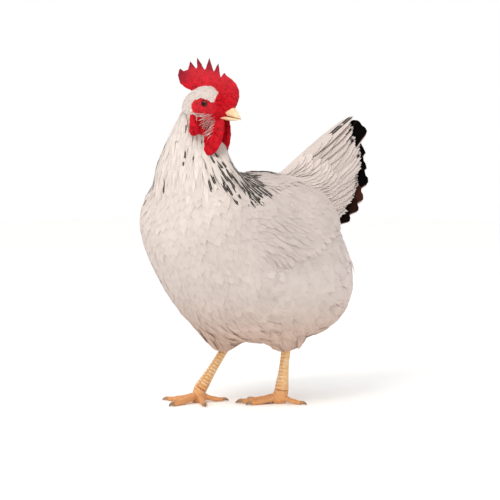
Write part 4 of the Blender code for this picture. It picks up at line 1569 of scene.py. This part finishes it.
@dataclass
class Wing:
    """A folded wing: a fan of secondaries along its lower edge, lifted off the flank, under the coverts that
    the plumage lays over it."""

    side: int
    half_length_mm: float = 84.0
    half_height_mm: float = 48.0
    lean: float = -11.0
    toe_in: float = 7.0
    rise: float = 13.0
    thickness_mm: float = 10.0
    brim: float = 2.0
    # How square the wing's oblong is: 2 would be an ellipse.
    square: float = 2.4
    secondaries: int = 17
    first_root: Pair = (-0.62, -0.66)
    last_root: Pair = (0.02, 0.55)
    first_turn: float = 5.0
    last_turn: float = -30.0
    length_mm: Pair = (118.0, 84.0)
    width_mm: float = 25.0

    def frame(self) -> Matrix:
        """Finds the wing's frame.

        Returns:
            The frame, whose local axes are outwards, backwards and up.
        """
        turned = (Matrix.Translation(STANCE.spot(*STANCE.wing_mm))
                  @ Matrix.Rotation(math.radians(self.toe_in), 4, "Z")
                  @ Matrix.Rotation(math.radians(self.lean), 4, "Y")
                  @ Matrix.Rotation(math.radians(self.rise), 4, "X"))
        return turned if self.side > 0 else Matrix.Diagonal((-1, 1, 1, 1)) @ turned

    def shares(self, here: Rows) -> tuple[Rows, Rows, Rows]:
        """Where points lie on the wing.

        Args:
            here: rows of left, forward, up.

        Returns:
            Millimetres outwards, and the shares of the half length backwards and of the half height up.
        """
        out, back, up = (seen_from(self.frame(), STANCE.placed(here)) / MM).T
        return out, back / self.half_length_mm, up / self.half_height_mm

    def ring(self, back: Rows, up: Rows) -> Rows:
        """How far out points lie on the wing's rounded oblong.

        Args:
            back: the shares of the half length backwards.
            up: the shares of the half height up.

        Returns:
            For each point, 0 in the middle and 1 at the edge.
        """
        return (np.abs(back) ** self.square + np.abs(up) ** self.square) ** (1 / self.square)

    def covers(self, here: Rows) -> Rows:
        """Whether roots lie where the wing's coverts grow.

        Args:
            here: rows of left, forward, up.

        Returns:
            Yes or no for each row.
        """
        out, back, up = self.shares(here)
        lowest = -0.36 + 0.9 * np.clip(back + 0.1, 0, 1) ** 1.5
        return (self.ring(back, up) < 1) & (up > lowest) & (back < 0.6) & (out > -30)

    def rise_mm(self, here: Rows) -> Rows:
        """How far the wing stands off the body: nothing in front and above, and most inside its lower edge.

        Args:
            here: rows of left, forward, up.

        Returns:
            Millimetres for each row.
        """
        out, back, up = self.shares(here)
        fore = smooth_step(back, -1.05, 0.05)
        over = 1 - smooth_step(up, 0.2, 1.0)
        rim = 1 - smooth_step(self.ring(back, up), 0.9, 1.08)
        return self.thickness_mm * fore * over * rim * (out > -40)

    def brim_mm(self, here: Rows) -> Rows:
        """How far the back's feathers stand up where they meet the wing's upper edge.

        Args:
            here: rows of left, forward, up.

        Returns:
            Millimetres for each row.
        """
        out, back, up = self.shares(here)
        ring = self.ring(back, up)
        near = smooth_step(ring, 0.96, 1.03) * (1 - smooth_step(ring, 1.08, 1.5))
        return self.brim * near * smooth_step(up, 0.0, 0.5) * smooth_step(back, -0.7, 0.0) * (out > -40)

    def build(self, coat: Surface) -> None:
        """Lays the secondaries on the coat.

        Args:
            coat: the plumage's outer surface, without the wings.
        """
        frame_of = self.frame()
        turn = frame_of.to_3x3()
        name = "left" if self.side > 0 else "right"
        vane = Vane(Outline.FLIGHT, columns=4, rows=9, teeth=1, tooth=0.015, teeth_from=0.7)
        share = np.linspace(0, 1, self.secondaries)
        chance = np.random.default_rng(30 + self.side)
        roots, headings, places = [], [], []
        for part in share.tolist():
            back, up = (a + (b - a) * part for a, b in zip(self.first_root, self.last_root))
            angle = math.radians(self.first_turn + (self.last_turn - self.first_turn) * part)
            roots.append(frame_of @ (Vector((10, back * self.half_length_mm, up * self.half_height_mm)) * MM))
            headings.append(turn @ Vector((0, math.cos(angle), math.sin(angle))))
            places.append((0.5 + 0.4 * back, 0.5 + 0.4 * up))
        lengths = self.length_mm[0] + (self.length_mm[1] - self.length_mm[0]) * share
        lengths = lengths * chance.uniform(0.98, 1.02, self.secondaries) * MM
        spines = coat.march(np.array(roots), np.array(headings), lengths, 8, None)
        # Each one lies a little over the one below it.
        stack = share - 1.6
        spines.raise_by(self.rise_mm)
        bundle = Bundle(spines, np.full(self.secondaries, self.width_mm * MM), (stack - 7) * MM,
                        (stack + 0.6) * MM, np.array(places), np.zeros(self.secondaries),
                        lift_power=0.8, camber=0.06, patch=(0.03, 0.03))
        piece = joined_vanes(f"wing_{name}_secondaries", vane, bundle, 300 + self.side)
        dress(piece, FeatherFinish(f"secondary_vanes_white_{name}"))


@dataclass
class Tail:
    """The tail: a tent of black and brown main feathers with pale edges, under rows of white coverts."""

    feathers_a_side: int = 7
    pigment: tuple[float, ...] = (1.0, 1.0, 1.0, 0.97, 0.62, 0.8, 0.9)
    root_thickness_mm: float = 84.0
    edge_thickness_mm: float = 2.0
    # Each pair is the value in the middle of the fan and how much it changes out to the edges: angles over
    # the level and sideways, and length.
    lift: Pair = (45.0, -35.0)
    swing: Pair = (2.0, 34.0)
    length_mm: Pair = (208.0, -129.0)
    # The fan's roots spread sideways and down.
    root_spread_mm: Pair = (14.0, 6.0)
    # The width of the first main feather, and how much narrower each next one is.
    main_width_mm: Pair = (48.0, 1.5)
    coverts_a_row: int = 25
    covert_rows: tuple[Triple, ...] = (
        # Where the tips reach along the fan, and the feathers' length and width in millimetres.
        (0.93, 92, 30), (0.89, 86, 29), (0.84, 80, 28), (0.79, 74, 27), (0.74, 68, 26), (0.69, 62, 25),
        (0.63, 58, 24), (0.57, 54, 23), (0.50, 50, 22), (0.43, 46, 21), (0.36, 44, 20), (0.29, 42, 19),
    )
    vent_rows: tuple[Triple, ...] = ((0.14, 40, 18), (0.06, 40, 18))
    # Rows of saddle feathers and feathers in a row, their length and width, and where on the back they start.
    saddle_rows: tuple[int, int] = (9, 29)
    saddle_mm: Pair = (42.0, 18.0)
    saddle_from_mm: Triple = (66.0, -52.0, 275.0)

    def ray(self, across: float) -> tuple[Vector, Vector, float]:
        """Root, direction and length of the fan at a place across it.

        Args:
            across: from -1 at the hen's right to 1 at its left.

        Returns:
            The root, the unit direction and the length.
        """
        out = abs(across)
        lift = math.radians(self.lift[0] + self.lift[1] * out ** 1.3)
        swing = math.radians(self.swing[0] + self.swing[1] * out) * (1 if across >= 0 else -1)
        length = (self.length_mm[0] + self.length_mm[1] * out ** 0.9) * MM
        flat = math.cos(lift)
        direction = Vector((math.sin(swing) * flat, math.cos(swing) * flat, math.sin(lift)))
        left, forward, up = STANCE.tail_root_mm
        sideways, down = self.root_spread_mm
        return STANCE.spot(left + sideways * across, forward, up - down * out), direction, length

    def square(self, across: float) -> Vector:
        """The way out of the fan's upper face.

        Args:
            across: the place across it, from -1 to 1.

        Returns:
            The unit direction.
        """
        step = 0.15
        ahead, behind = (self.ray(across + s)[1] for s in (step, -step))
        return (ahead - behind).cross(self.ray(across)[1]).normalized()

    def spines(self, places: list[tuple[float, float, float, float]], under: bool,
               padding: float = 1.0) -> Spines:
        """Spines on the fan's face.

        Args:
            places: for each feather, its place across, the shares of the fan's length at root and tip, and
                its depth under the fan's face in millimetres.
            under: whether they lie on the fan's under face.
            padding: the share of the fan's thickness that is under them.

        Returns:
            The spines.
        """
        stations = 6
        points = np.empty((len(places), stations, 3))
        normals, sideways = np.empty_like(points), np.empty_like(points)
        for k, (across, start, end, depth) in enumerate(places):
            root, direction, length = self.ray(across)
            square = self.square(across)
            out = -square if under else square
            for j in range(stations):
                t = start + (end - start) * j / (stations - 1)
                cushion = padding * self.root_thickness_mm / 2 * (1 - 0.7 * across ** 2)
                held = min(max(t, 0.0), 1.0)
                cushion *= 0.45 * (1 - held) ** 1.4 if under else 1 - held ** 1.3
                half = (self.edge_thickness_mm / 2 + cushion - depth) * MM
                points[k, j] = root + direction * length * t + out * half
                normals[k, j] = out
            way = unit(np.gradient(points[k], axis=0))
            normals[k] = unit(normals[k] - way * (normals[k] * way).sum(1, keepdims=True))
            sideways[k] = np.cross(way, normals[k])
        return Spines(points, normals, sideways)

    def main_feathers(self) -> None:
        """Sets the main tail feathers, black above and browner below, with pale edges."""
        places, widths, dark, chance = [], [], [], np.random.default_rng(5)
        for side in (1, -1):
            for k in range(self.feathers_a_side):
                across = side * (k + 0.5) / self.feathers_a_side
                places.append((across, 0.2, chance.uniform(0.965, 1.01), 0.8 + 0.3 * k))
                width = self.main_width_mm[0] - self.main_width_mm[1] * k
                widths.append(width * chance.uniform(0.95, 1.1) * MM)
                dark.append(self.pigment[k] - chance.uniform(0, 0.06))
        # One of the two middle feathers has stayed white.
        dark[self.feathers_a_side] = 0.05
        count = len(places)
        spines = self.spines(places, False, padding=0.0)
        strip = np.array([(0.03 + k * 0.065, 0.03) for k in range(count)]) + (0.03, 0)
        bundle = Bundle(spines, np.array(widths), np.zeros(count), np.zeros(count), strip,
                        np.array(dark), camber=0.1, roll=0.03, patch=(0.055, 0.9))
        vane = Vane(Outline.FLIGHT, columns=6, rows=14, teeth=1, tooth=0.012, teeth_from=0.8)
        piece = joined_vanes("tail_feathers", vane, bundle, 400)
        finish = FeatherFinish("tail_vanes_black", mark_edge="4A2820", shaft="33292A", shaft_width=0.03,
                               stripe=(0.86, 0.99), mark_start=(0.3, 0.55), mark_end=(2.0, 3.0),
                               barbs_a_length=90.0)
        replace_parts(dress(piece, finish), "tail")

    def covert_mark(self, row: int, out: float, chance: float) -> float:
        """How dark the stripe near a covert's tip is: strong in the longest rows, in a few feathers.

        Args:
            row: the covert's row, from the tail's edge.
            out: how far out it lies, from 0 to 1.
            chance: a random number from 0 to 1.

        Returns:
            The share of dark pigment.
        """
        inner = row < 7 and out < 0.55 and chance < 0.95 - 0.1 * row
        outer = row < 2 and out > 0.6 and chance < 0.3
        return 0.95 if inner or outer else 0.0

    def coverts(self, under: bool) -> None:
        """Lays rows of white coverts up the fan.

        Args:
            under: whether they lie on the fan's under face.
        """
        chance = np.random.default_rng(6 + under)
        rows = self.covert_rows[2:] + self.vent_rows if under else self.covert_rows
        places, widths, marks = [], [], []
        for number, (end, length_mm, width_mm) in enumerate(rows):
            count = self.coverts_a_row - number % 2
            for k in range(count):
                across = 1.02 * (2 * k / (count - 1) - 1)
                _, _, length = self.ray(across)
                bulge = 0.035 * math.sin(math.pi * min(1, abs(across) / 0.8))
                stop = end + chance.uniform(-0.03, 0.03) + bulge
                start = stop - length_mm * MM / length
                places.append((across, max(start, -0.15), stop, 0.9 - 0.08 * number))
                widths.append(width_mm * MM * chance.uniform(0.9, 1.15))
                marks.append(self.covert_mark(number, abs(across), chance.random()))
        count = len(places)
        spines = self.spines(places, under)
        at = np.array([(0.5 + 0.45 * p[0], 0.1 + 0.8 * p[2]) for p in places])
        bundle = Bundle(spines, np.array(widths), np.full(count, -3.2 * MM),
                        chance.normal(0, 0.12 * MM, count), at, np.array(marks), camber=0.015, tuck=0.25 * MM,
                        patch=(0.01, 0.01))
        vane = Vane(Outline.ROUND, columns=4, rows=7, teeth=2, tooth=0.03, teeth_from=0.5)
        name = "tail_coverts_under" if under else "tail_coverts"
        piece = joined_vanes(name, vane, bundle, 410 + under)
        finish = FeatherFinish(name + "_white", stripe=(0.1, 0.4), mark_start=(0.55, 0.75),
                               mark_end=(0.9, 0.98))
        dress(piece, finish)

    def bridge(self, coat: Surface, across: Rows, tips: Rows) -> Spines:
        """Spines on a smooth rise from the back, over the tail's root, to the fan's face.

        Args:
            coat: the plumage's outer surface.
            across: for each feather, its place across the fan.
            tips: for each feather, the share of the rise that its tip has reached.

        Returns:
            The spines.
        """
        left, forward, up = self.saddle_from_mm
        places = [STANCE.spot(left * a, forward, up - 12 * a * a) for a in across]
        starts, first = coat.nearest(np.array(places))
        shares = 0.42 + 0.3 * np.abs(across)
        fan = self.spines([(a, s, s + 0.4, -1.2) for a, s in zip(across.tolist(), shares.tolist())], False)
        ends, last, onward = fan.points[:, 0], fan.normals[:, 0], unit(fan.points[:, 1] - fan.points[:, 0])
        gaps = np.linalg.norm(ends - starts, axis=1, keepdims=True)
        backwards = np.array((0.0, 1.0, 0.0))
        leave = unit(backwards - first * (first @ backwards)[:, None])
        stations = 6
        points = np.empty((len(tips), stations, 3))
        normals = np.empty_like(points)
        for k in range(stations):
            at = tips[:, None] - self.saddle_mm[0] * MM / gaps * (1 - k / (stations - 1))
            s = np.clip(at, 0, 1)
            points[:, k] = ((1 - s) ** 3 * starts + 3 * (1 - s) ** 2 * s * (starts + leave * gaps * 0.36)
                            + 3 * (1 - s) * s ** 2 * (ends - onward * gaps * 0.36) + s ** 3 * ends
                            + leave * gaps * np.minimum(at, 0) + onward * gaps * np.maximum(at - 1, 0))
            normals[:, k] = first * (1 - s) + last * s
        way = unit(np.gradient(points, axis=1))
        normals = unit(normals - way * (normals * way).sum(2, keepdims=True))
        return Spines(points, normals, np.cross(way, normals))

    def saddle(self, coat: Surface) -> None:
        """Lays white feathers from the back over the tail's root, so that the one runs on into the other.

        Args:
            coat: the plumage's outer surface.
        """
        chance = np.random.default_rng(9)
        rows, columns = self.saddle_rows
        across = np.array([(2 * k + row % 2) / columns - 1 for row in range(rows) for k in range(columns)])
        tips = np.array([0.2 + 0.13 * row for row in range(rows) for _ in range(columns)])
        tips += chance.uniform(-0.03, 0.03, len(tips))
        spines = self.bridge(coat, across, tips)
        at = np.stack([0.5 + 0.45 * across, 0.05 + 0.7 * tips], 1)
        widths = self.saddle_mm[1] * MM * chance.uniform(0.9, 1.15, len(tips))
        bundle = Bundle(spines, widths, np.full(len(tips), -3 * MM), chance.normal(0.2, 0.1, len(tips)) * MM,
                        at, np.zeros(len(tips)), camber=0.015, tuck=0.25 * MM, patch=(0.01, 0.01))
        piece = joined_vanes("saddle_feathers", Vane(Outline.ROUND), bundle, 420)
        dress(piece, FeatherFinish("saddle_vanes_white", web="E6DAD4"))

    def build(self, coat: Surface) -> None:
        """Builds the whole tail.

        Args:
            coat: the plumage's outer surface.
        """
        self.main_feathers()
        self.coverts(False)
        self.coverts(True)
        self.saddle(coat)


@dataclass
class Head:
    """What the head carries besides its skin: small feathers, cheek bristles, eyes and bill."""

    plumage: Plumage
    nostril_mm: Triple = (0.0, 26.0, 2.6)
    nostril_length: float = 2.6
    nostril_depth_mm: float = 0.9
    bill_voxel_mm: float = 0.45
    mouth_up_mm: float = -8.05

    def lie(self, points: Rows) -> Rows:
        """The way the head's feathers point: back from the bill, and down at nape and throat.

        Args:
            points: rows of x, y, z.

        Returns:
            Rows of unit directions.
        """
        left, forward, up = STANCE.in_head(points).T
        drop = 0.35 + 1.3 * smooth_step(-forward, 4, 30) + 0.9 * smooth_step(-up, 6, 30)
        local = np.stack([0.015 * left, np.ones_like(drop), -drop], 1)
        return unit(local @ np.array(STANCE.head().to_3x3()).T)

    def feathers(self, skin: Surface, bare: Rows) -> None:
        """Grows the small feathers of crown, cheek and nape, and the cheek's sparse bristles.

        Args:
            skin: the skin's surface.
            bare: how bare the skin is at each vertex.
        """
        tree = tree_of(skin.verts)

        def bareness(here: Rows) -> Rows:
            """How bare the skin is for rows of left, forward, up."""
            return bare[[tree.find(p)[1] for p in STANCE.placed(here).tolist()]]

        def in_head(here: Rows) -> Rows:
            """Rows of left, forward, up in the head's frame."""
            return STANCE.in_head(STANCE.placed(here))

        def grows(here: Rows) -> Rows:
            """Where small feathers grow.

            Args:
                here: rows of left, forward, up.

            Returns:
                Yes or no for each row.
            """
            local = in_head(here)
            near = (local[:, 2] > -20) & (np.linalg.norm(local, axis=1) < 62)
            found = np.zeros(len(here), bool)
            found[near] = bareness(here[near]) < 0.8
            return found

        def bristles(here: Rows) -> Rows:
            """Where the cheek's bristles grow.

            Args:
                here: rows of left, forward, up.

            Returns:
                Yes or no for each row.
            """
            left, forward, up = in_head(here).T
            behind = np.where(up > -12, 0, 6 + 0.25 * (-14 - up))
            return (np.abs(left) > 6) & (forward > behind) & (forward < 20) & (up < -8) & (up > -33)

        def sizes(here: Rows) -> Rows:
            """Spacing, length and width, growing from the face back."""
            back = smooth_step(np.linalg.norm(in_head(here) - (0, 6, 0), axis=1), 14, 48)[:, None]
            return np.array((1.5, 5.0, 2.2)) * (1 - back) + np.array((2.6, 13, 4.6)) * back

        small = Vane(Outline.ROUND, columns=2, rows=3, teeth=1, tooth=0.14, teeth_from=0.5)
        self.plumage.lay(Tract("head_feathers", grows, sizes, small, lift_mm=(-0.5, 0.9), stray=9,
                               spread_mm=0.1), skin, self.lie, 20)
        bristle = Vane(Outline.LANCE, columns=2, rows=4, teeth=0, tooth=0.0)
        self.plumage.lay(Tract("cheek_bristles", bristles, even(1.9, 9.0, 0.7), bristle, lift_mm=(-0.2, 0.9),
                               stray=14, spread_mm=0.2), skin, self.lie, 21)

    def eyes(self) -> None:
        """Sets the eyeballs."""
        for label, side in SIDES.items():
            left, forward, up = STANCE.eye_mm
            centre = STANCE.head() @ (Vector((side * left, -forward, up)) * MM)
            axis = STANCE.head().to_3x3() @ Vector((side, 0, 0))
            bm = bmesh.new()
            turn = Vector((0, 0, 1)).rotation_difference(axis).to_matrix().to_4x4()
            bmesh.ops.create_uvsphere(bm, u_segments=40, v_segments=24, radius=STANCE.eye_radius_mm * MM,
                                      matrix=Matrix.Translation(centre) @ turn)
            eye = new_piece(f"eyeball_{label}", bm)
            finish = EyeFinish(f"wet_eye_{label}", tuple(centre), tuple(axis))
            dress(eye, finish, stands_for=(f"eye_{label}",))

    def bill(self) -> None:
        """Refines both halves of the bill, with a nostril on each side of the upper one."""
        for node in ("bill_upper", "bill_lower"):
            bill = fused(f"{node}_horn", [merged(node, 0.3 * MM)], self.bill_voxel_mm * MM, 3)
            local = STANCE.in_head(points_of(bill.data))
            reach = smooth_step(local[:, 1], 22, 50)
            _, forward, up = self.nostril_mm
            slot = np.hypot((local[:, 1] - forward) / self.nostril_length, local[:, 2] - up)
            hollow = (1 - smooth_step(slot, 0.6, 1.2)) * (node == "bill_upper") * (np.abs(local[:, 0]) > 2.5)
            # Painted shade along the crack where the two halves of the bill meet; the nostrils are darkened
            # too.
            mouth_shade = 0.9 * (1 - smooth_step(np.abs(local[:, 2] - self.mouth_up_mm), 0.2, 0.55))
            pushed_out(bill.data, hollow * -self.nostril_depth_mm * MM)
            keep_values(bill.data, reach=reach, hollow=np.maximum(hollow, mouth_shade))
            dress(bill, HornFinish(f"{node}_keratin"), stands_for=(node,))


@dataclass
class Leg:
    """One scaled leg: the shank with two rows of scutes down its front, the toes and their claws."""

    label: str
    shank_voxel_mm: float = 0.7
    scute_mm: float = 4.6
    scute_height_mm: float = 0.4
    toe_scute_mm: float = 3.4
    groove_mm: float = 0.45
    toe_up_mm: float = 8.0
    sole_mm: float = 2.0
    claw_voxel_mm: float = 0.35
    radius_mm: float = 7.0
    # Angles round the shank at which the front scutes end and the smaller ones at its back begin.
    front_ends: Pair = (70.0, 95.0)
    back_begins: Pair = (128.0, 146.0)
    toes: tuple[str, ...] = ("inner", "middle", "outer", "hind")

    def middle_of(self, node: str) -> Rows:
        """The middle of a node's box."""
        low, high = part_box(node)
        return np.array((low + high) / 2)

    def shank(self) -> None:
        """Refines the shank and raises its scutes."""
        node = f"shank_{self.label}"
        piece = fused(f"{node}_scutes", [merged(node)], self.shank_voxel_mm * MM, 3)
        points = points_of(piece.data)
        centre = points.mean(0)
        axis = np.linalg.svd((points - centre)[::7], full_matrices=False)[2][0]
        axis = axis * np.sign(axis[2])
        front = self.middle_of(f"claw_middle_{self.label}") - centre
        front = unit(front - axis * (front @ axis))
        side = np.cross(axis, front)
        local = points - centre
        up = local @ axis / MM
        angle = np.degrees(np.arctan2(local @ side, local @ front))
        column = (angle > 0) * 0.5
        share = np.mod(up / self.scute_mm + column, 1.0)
        fore = 1 - smooth_step(np.abs(angle), *self.front_ends)
        aft = smooth_step(np.abs(angle), *self.back_begins)
        aft_share = np.mod(up / (self.scute_mm * 0.8), 1.0)
        seam = 1 - smooth_step(np.radians(np.abs(angle)) * self.radius_mm, 0.0, self.groove_mm * 1.6)
        wide = self.groove_mm + 0.25
        cut, back_cut = (1 - smooth_step(np.minimum(part, 1 - part) * self.scute_mm, 0.1, wide)
                         for part in (share, aft_share))
        groove = np.clip(np.maximum(np.maximum(cut, seam) * fore, back_cut * aft * 0.8), 0, 1)
        height = ((1 - share) * fore + (1 - aft_share) * aft * 0.5 - groove * 0.6) * self.scute_height_mm * MM
        pushed_out(piece.data, height - 0.15 * MM)
        keep_values(piece.data, groove=groove)
        dress(piece, ScuteFinish(f"shank_scutes_{self.label}"), stands_for=(node,))

    def foot(self) -> None:
        """Refines the toes and raises the scutes along their tops."""
        node = f"foot_{self.label}"
        piece = fused(f"{node}_scutes", [merged(node)], self.shank_voxel_mm * MM, 2)
        points = points_of(piece.data)
        # The toes spread from under the shank, at the height of their own middles.
        hub = self.middle_of(node) * 0.25 + self.middle_of(f"shank_{self.label}") * 0.75
        hub[2] = self.toe_up_mm * MM
        best = np.full(len(points), 1e9)
        along = np.zeros(len(points))
        for toe in self.toes:
            end = self.middle_of(f"claw_{toe}_{self.label}")
            way = end - hub
            length = np.linalg.norm(way)
            way = way / length
            run = np.clip((points - hub) @ way, 0, length)
            gap = np.linalg.norm(points - hub - run[:, None] * way, axis=1)
            closer = gap < best
            best = np.where(closer, gap, best)
            along = np.where(closer, run, along)
        top = smooth_step(normals_of(piece.data)[:, 2], 0.1, 0.5)
        share = np.mod(along / MM / self.toe_scute_mm, 1.0)
        cut = 1 - smooth_step(np.minimum(share, 1 - share) * self.toe_scute_mm, 0.1, self.groove_mm + 0.2)
        groove = cut * top
        height = ((0.5 - np.abs(share - 0.5)) * 2 * top * 0.35) * MM - groove * 0.1 * MM
        pushed_out(piece.data, height * (points[:, 2] > self.sole_mm * MM))
        keep_values(piece.data, groove=groove)
        dress(piece, ScuteFinish(f"toe_scutes_{self.label}"), stands_for=(node,))

    def claws(self) -> None:
        """Smooths the claws into curved horn."""
        hub = self.middle_of(f"foot_{self.label}")
        for toe in self.toes:
            node = f"claw_{toe}_{self.label}"
            piece = fused(f"{node}_horn", [merged(node)], self.claw_voxel_mm * MM, 3)
            points = points_of(piece.data)
            away = np.linalg.norm((points - hub)[:, :2], axis=1)
            reach = (away - away.min()) / (away.max() - away.min())
            keep_values(piece.data, reach=reach)
            finish = HornFinish(f"{node}_keratin", base="B98F68", tip="6E5C50", streak="8A6A4C")
            dress(piece, finish, stands_for=(node,))

    def build(self) -> None:
        """Builds the leg."""
        self.shank()
        self.foot()
        self.claws()


# ---------------------------------------------------------------- studio


@dataclass
class Studio:
    """A floor of pale paper, soft light from all round, and the camera."""

    azimuth: float = 45.0
    elevation: float = 3.0
    distance: float = 2.0
    target: Triple = (0.0075, -0.0306, 0.201)
    view_side: float = 0.65
    box_azimuth: float = 12.0
    box_elevation: float = 45.0
    box_distance: float = 2.2
    box_side: float = 1.1
    box_watts: float = 24.0
    box_tint: str = "FFFAF4"

    def aimed(self, name: str, data: ID, azimuth: float, elevation: float, distance: float,
              target: Triple) -> Object:
        """Sets a camera or a lamp at a distance, looking at its target.

        Args:
            name: the object's name.
            data: the camera or the lamp.
            azimuth: its angle round the hen, 0 in front.
            elevation: its angle over the floor.
            distance: how far off it is.
            target: what it looks at.

        Returns:
            The object.
        """
        a, e = math.radians(azimuth), math.radians(elevation)
        back = Vector((math.sin(a) * math.cos(e), -math.cos(a) * math.cos(e), math.sin(e)))
        made = bpy.data.objects.new(name, data)
        made.location = Vector(target) + back * distance
        made.rotation_mode = "QUATERNION"
        made.rotation_quaternion = (-back).to_track_quat("-Z", "Y")
        bpy.context.scene.collection.objects.link(made)
        return made

    def camera(self) -> None:
        """Sets the camera at its angle, with a lens that takes in the wanted width at the hen."""
        data = bpy.data.cameras.new("camera")
        data.sensor_width = 36.0
        data.lens = 36.0 * self.distance / self.view_side
        data.clip_start = 0.05
        bpy.context.scene.camera = self.aimed("camera", data, self.azimuth, self.elevation, self.distance,
                                              self.target)

    def floor(self) -> None:
        """Lays the paper."""
        bm = bmesh.new()
        bmesh.ops.create_grid(bm, x_segments=2, y_segments=2, size=6.0)
        floor = new_piece("floor", bm)
        floor.data.materials.append(PaperFinish().material())

    def light(self) -> None:
        """Hangs the one soft box, high in front of the hen."""
        data = bpy.data.lights.new("key", "AREA")
        data.size = self.box_side
        data.energy = self.box_watts
        data.color = linear(self.box_tint)[:3]
        self.aimed("key", data, self.box_azimuth, self.box_elevation, self.box_distance, (0, 0, 0.2))

    def build(self) -> None:
        """Sets the whole studio."""
        self.camera()
        self.floor()
        world = bpy.data.worlds.new("studio")
        world.use_nodes = True
        sky = world.node_tree.nodes["Background"]
        sky.inputs["Color"].default_value = linear("FFFFFF")
        sky.inputs["Strength"].default_value = 1.0
        bpy.context.scene.world = world
        self.light()
        bpy.context.scene.view_settings.view_transform = "Standard"


def main() -> None:
    """Builds the hen's parts in order, then the studio."""
    logging.basicConfig(level=logging.INFO, format="%(name)s: %(message)s")
    skin = Skin()
    coat_tool = skin.coat()
    coat = Surface(coat_tool.data)
    bpy.data.objects.remove(coat_tool)
    whole = skin.build()
    wings = (Wing(1), Wing(-1))
    plumage = Plumage(coat, Lie(), wings)
    plumage.build()
    for wing in wings:
        wing.build(coat)
    Tail().build(coat)
    head = Head(plumage)
    bare = np.empty(len(whole.data.vertices), np.float32)
    whole.data.attributes["bare"].data.foreach_get("value", bare)
    head.feathers(Surface(whole.data), bare)
    head.eyes()
    head.bill()
    for label in SIDES:
        Leg(label).build()
    Studio().build()


if __name__ == "__main__":
    main()
